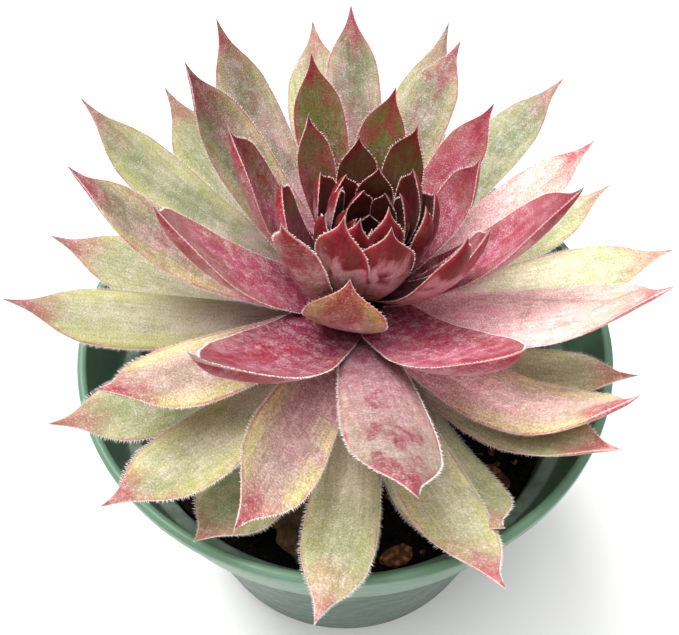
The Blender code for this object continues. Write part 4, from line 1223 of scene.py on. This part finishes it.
class HOUSELEEK_OT_stage(bpy.types.Operator):
    """Set the floor, lights and camera"""

    bl_idname = "houseleek.stage"
    bl_label = "Stage"

    def execute(self, context):
        scene, settings = context.scene, context.scene.houseleek_stage
        shape = bmesh.new()
        bmesh.ops.create_grid(shape, x_segments=1, y_segments=1, size=3.0)
        mesh = bpy.data.meshes.new("floor")
        shape.to_mesh(mesh)
        shape.free()
        made, tree = new_material("matt_paper_sweep")
        spot = add(tree, "TexCoord").outputs["Object"]
        tooth = add(tree, "TexNoise", {"Vector": spot, "Scale": 40.0, "Detail": 2.0}).outputs[0]
        rough = add(tree, "MapRange", {"Value": tooth, 3: 0.75, 4: 0.9}).outputs[0]
        shader = add(tree, "BsdfPrincipled", {"Base Color": tuple(settings.floor), "Roughness": rough})
        add(tree, "OutputMaterial", {"Surface": shader.outputs[0]})
        mesh.materials.append(made)
        floor = bpy.data.objects.new("floor", mesh)
        scene.collection.objects.link(floor)

        world = bpy.data.worlds.new("soft_sky")
        world.use_nodes = True
        sky = world.node_tree.nodes["Background"]
        sky.inputs["Color"].default_value = linear("F2F4F7")
        sky.inputs["Strength"].default_value = 0.5
        scene.world = world
        middle = Vector((0, 0, POT_HEIGHT))
        for name, place, size, power in (
            ("window", (-0.25, 0.25, 0.80), 0.5, 7.5),
            ("overhead", (-0.05, -0.10, 0.9), 0.5, 4.5),
            ("front_fill", (-0.20, -0.80, 0.50), 0.5, 2.2),
        ):
            lamp = bpy.data.lights.new(name, "AREA")
            lamp.shape, lamp.size, lamp.energy = "DISK", size, power
            light = bpy.data.objects.new(name, lamp)
            light.location = place
            light.rotation_euler = (middle - Vector(place)).to_track_quat("-Z", "Y").to_euler()
            scene.collection.objects.link(light)

        lens = bpy.data.cameras.new("camera")
        lens.lens = settings.lens
        lens.sensor_width = 36.0
        lens.sensor_fit = "HORIZONTAL"
        lens.clip_start = 0.005
        lens.shift_x, lens.shift_y = FRAME_SHIFT
        camera = bpy.data.objects.new("camera", lens)
        lift = settings.elevation
        camera.location = middle + settings.distance * Vector((0, -math.cos(lift), math.sin(lift)))
        camera.rotation_euler = (math.pi / 2 - lift, 0, 0)
        scene.collection.objects.link(camera)
        scene.camera = camera
        scene.view_settings.view_transform = "Standard"
        return {"FINISHED"}


class HOUSELEEK_PT_panel(bpy.types.Panel):
    """Shows the houseleek's settings and the buttons that build its pieces"""

    bl_idname = "HOUSELEEK_PT_panel"
    bl_label = "Potted houseleek"
    bl_space_type = "VIEW_3D"
    bl_region_type = "UI"
    bl_category = "Houseleek"

    def draw(self, context):
        for group in ("houseleek_pot", "houseleek_mix", "houseleek_rosette", "houseleek_stage"):
            box = self.layout.box()
            settings = getattr(context.scene, group)
            for key in settings.bl_rna.properties.keys():
                if key not in ("rna_type", "name"):
                    box.prop(settings, key)
        for operator in OPERATORS:
            self.layout.operator(operator.bl_idname)


OPERATORS = (
    HOUSELEEK_OT_pot,
    HOUSELEEK_OT_mix,
    HOUSELEEK_OT_chips,
    HOUSELEEK_OT_withered_leaf,
    HOUSELEEK_OT_stem,
    HOUSELEEK_OT_leaves,
    HOUSELEEK_OT_hairs,
    HOUSELEEK_OT_stage,
)
GROUPS = {
    "houseleek_pot": PotSettings,
    "houseleek_mix": MixSettings,
    "houseleek_rosette": RosetteSettings,
    "houseleek_stage": StageSettings,
}


def register():
    for name, group in GROUPS.items():
        bpy.utils.register_class(group)
        setattr(bpy.types.Scene, name, bpy.props.PointerProperty(type=group))
    for operator in OPERATORS:
        bpy.utils.register_class(operator)
    bpy.utils.register_class(HOUSELEEK_PT_panel)


def unregister():
    bpy.utils.unregister_class(HOUSELEEK_PT_panel)
    for operator in reversed(OPERATORS):
        bpy.utils.unregister_class(operator)
    for name, group in GROUPS.items():
        delattr(bpy.types.Scene, name)
        bpy.utils.unregister_class(group)


def main():
    register()
    bpy.ops.houseleek.pot()
    bpy.ops.houseleek.mix()
    bpy.ops.houseleek.chips()
    bpy.ops.houseleek.withered_leaf()
    bpy.ops.houseleek.stem()
    bpy.ops.houseleek.leaves()
    bpy.ops.houseleek.hairs()
    bpy.ops.houseleek.stage()


if __name__ == "__main__":
    main()
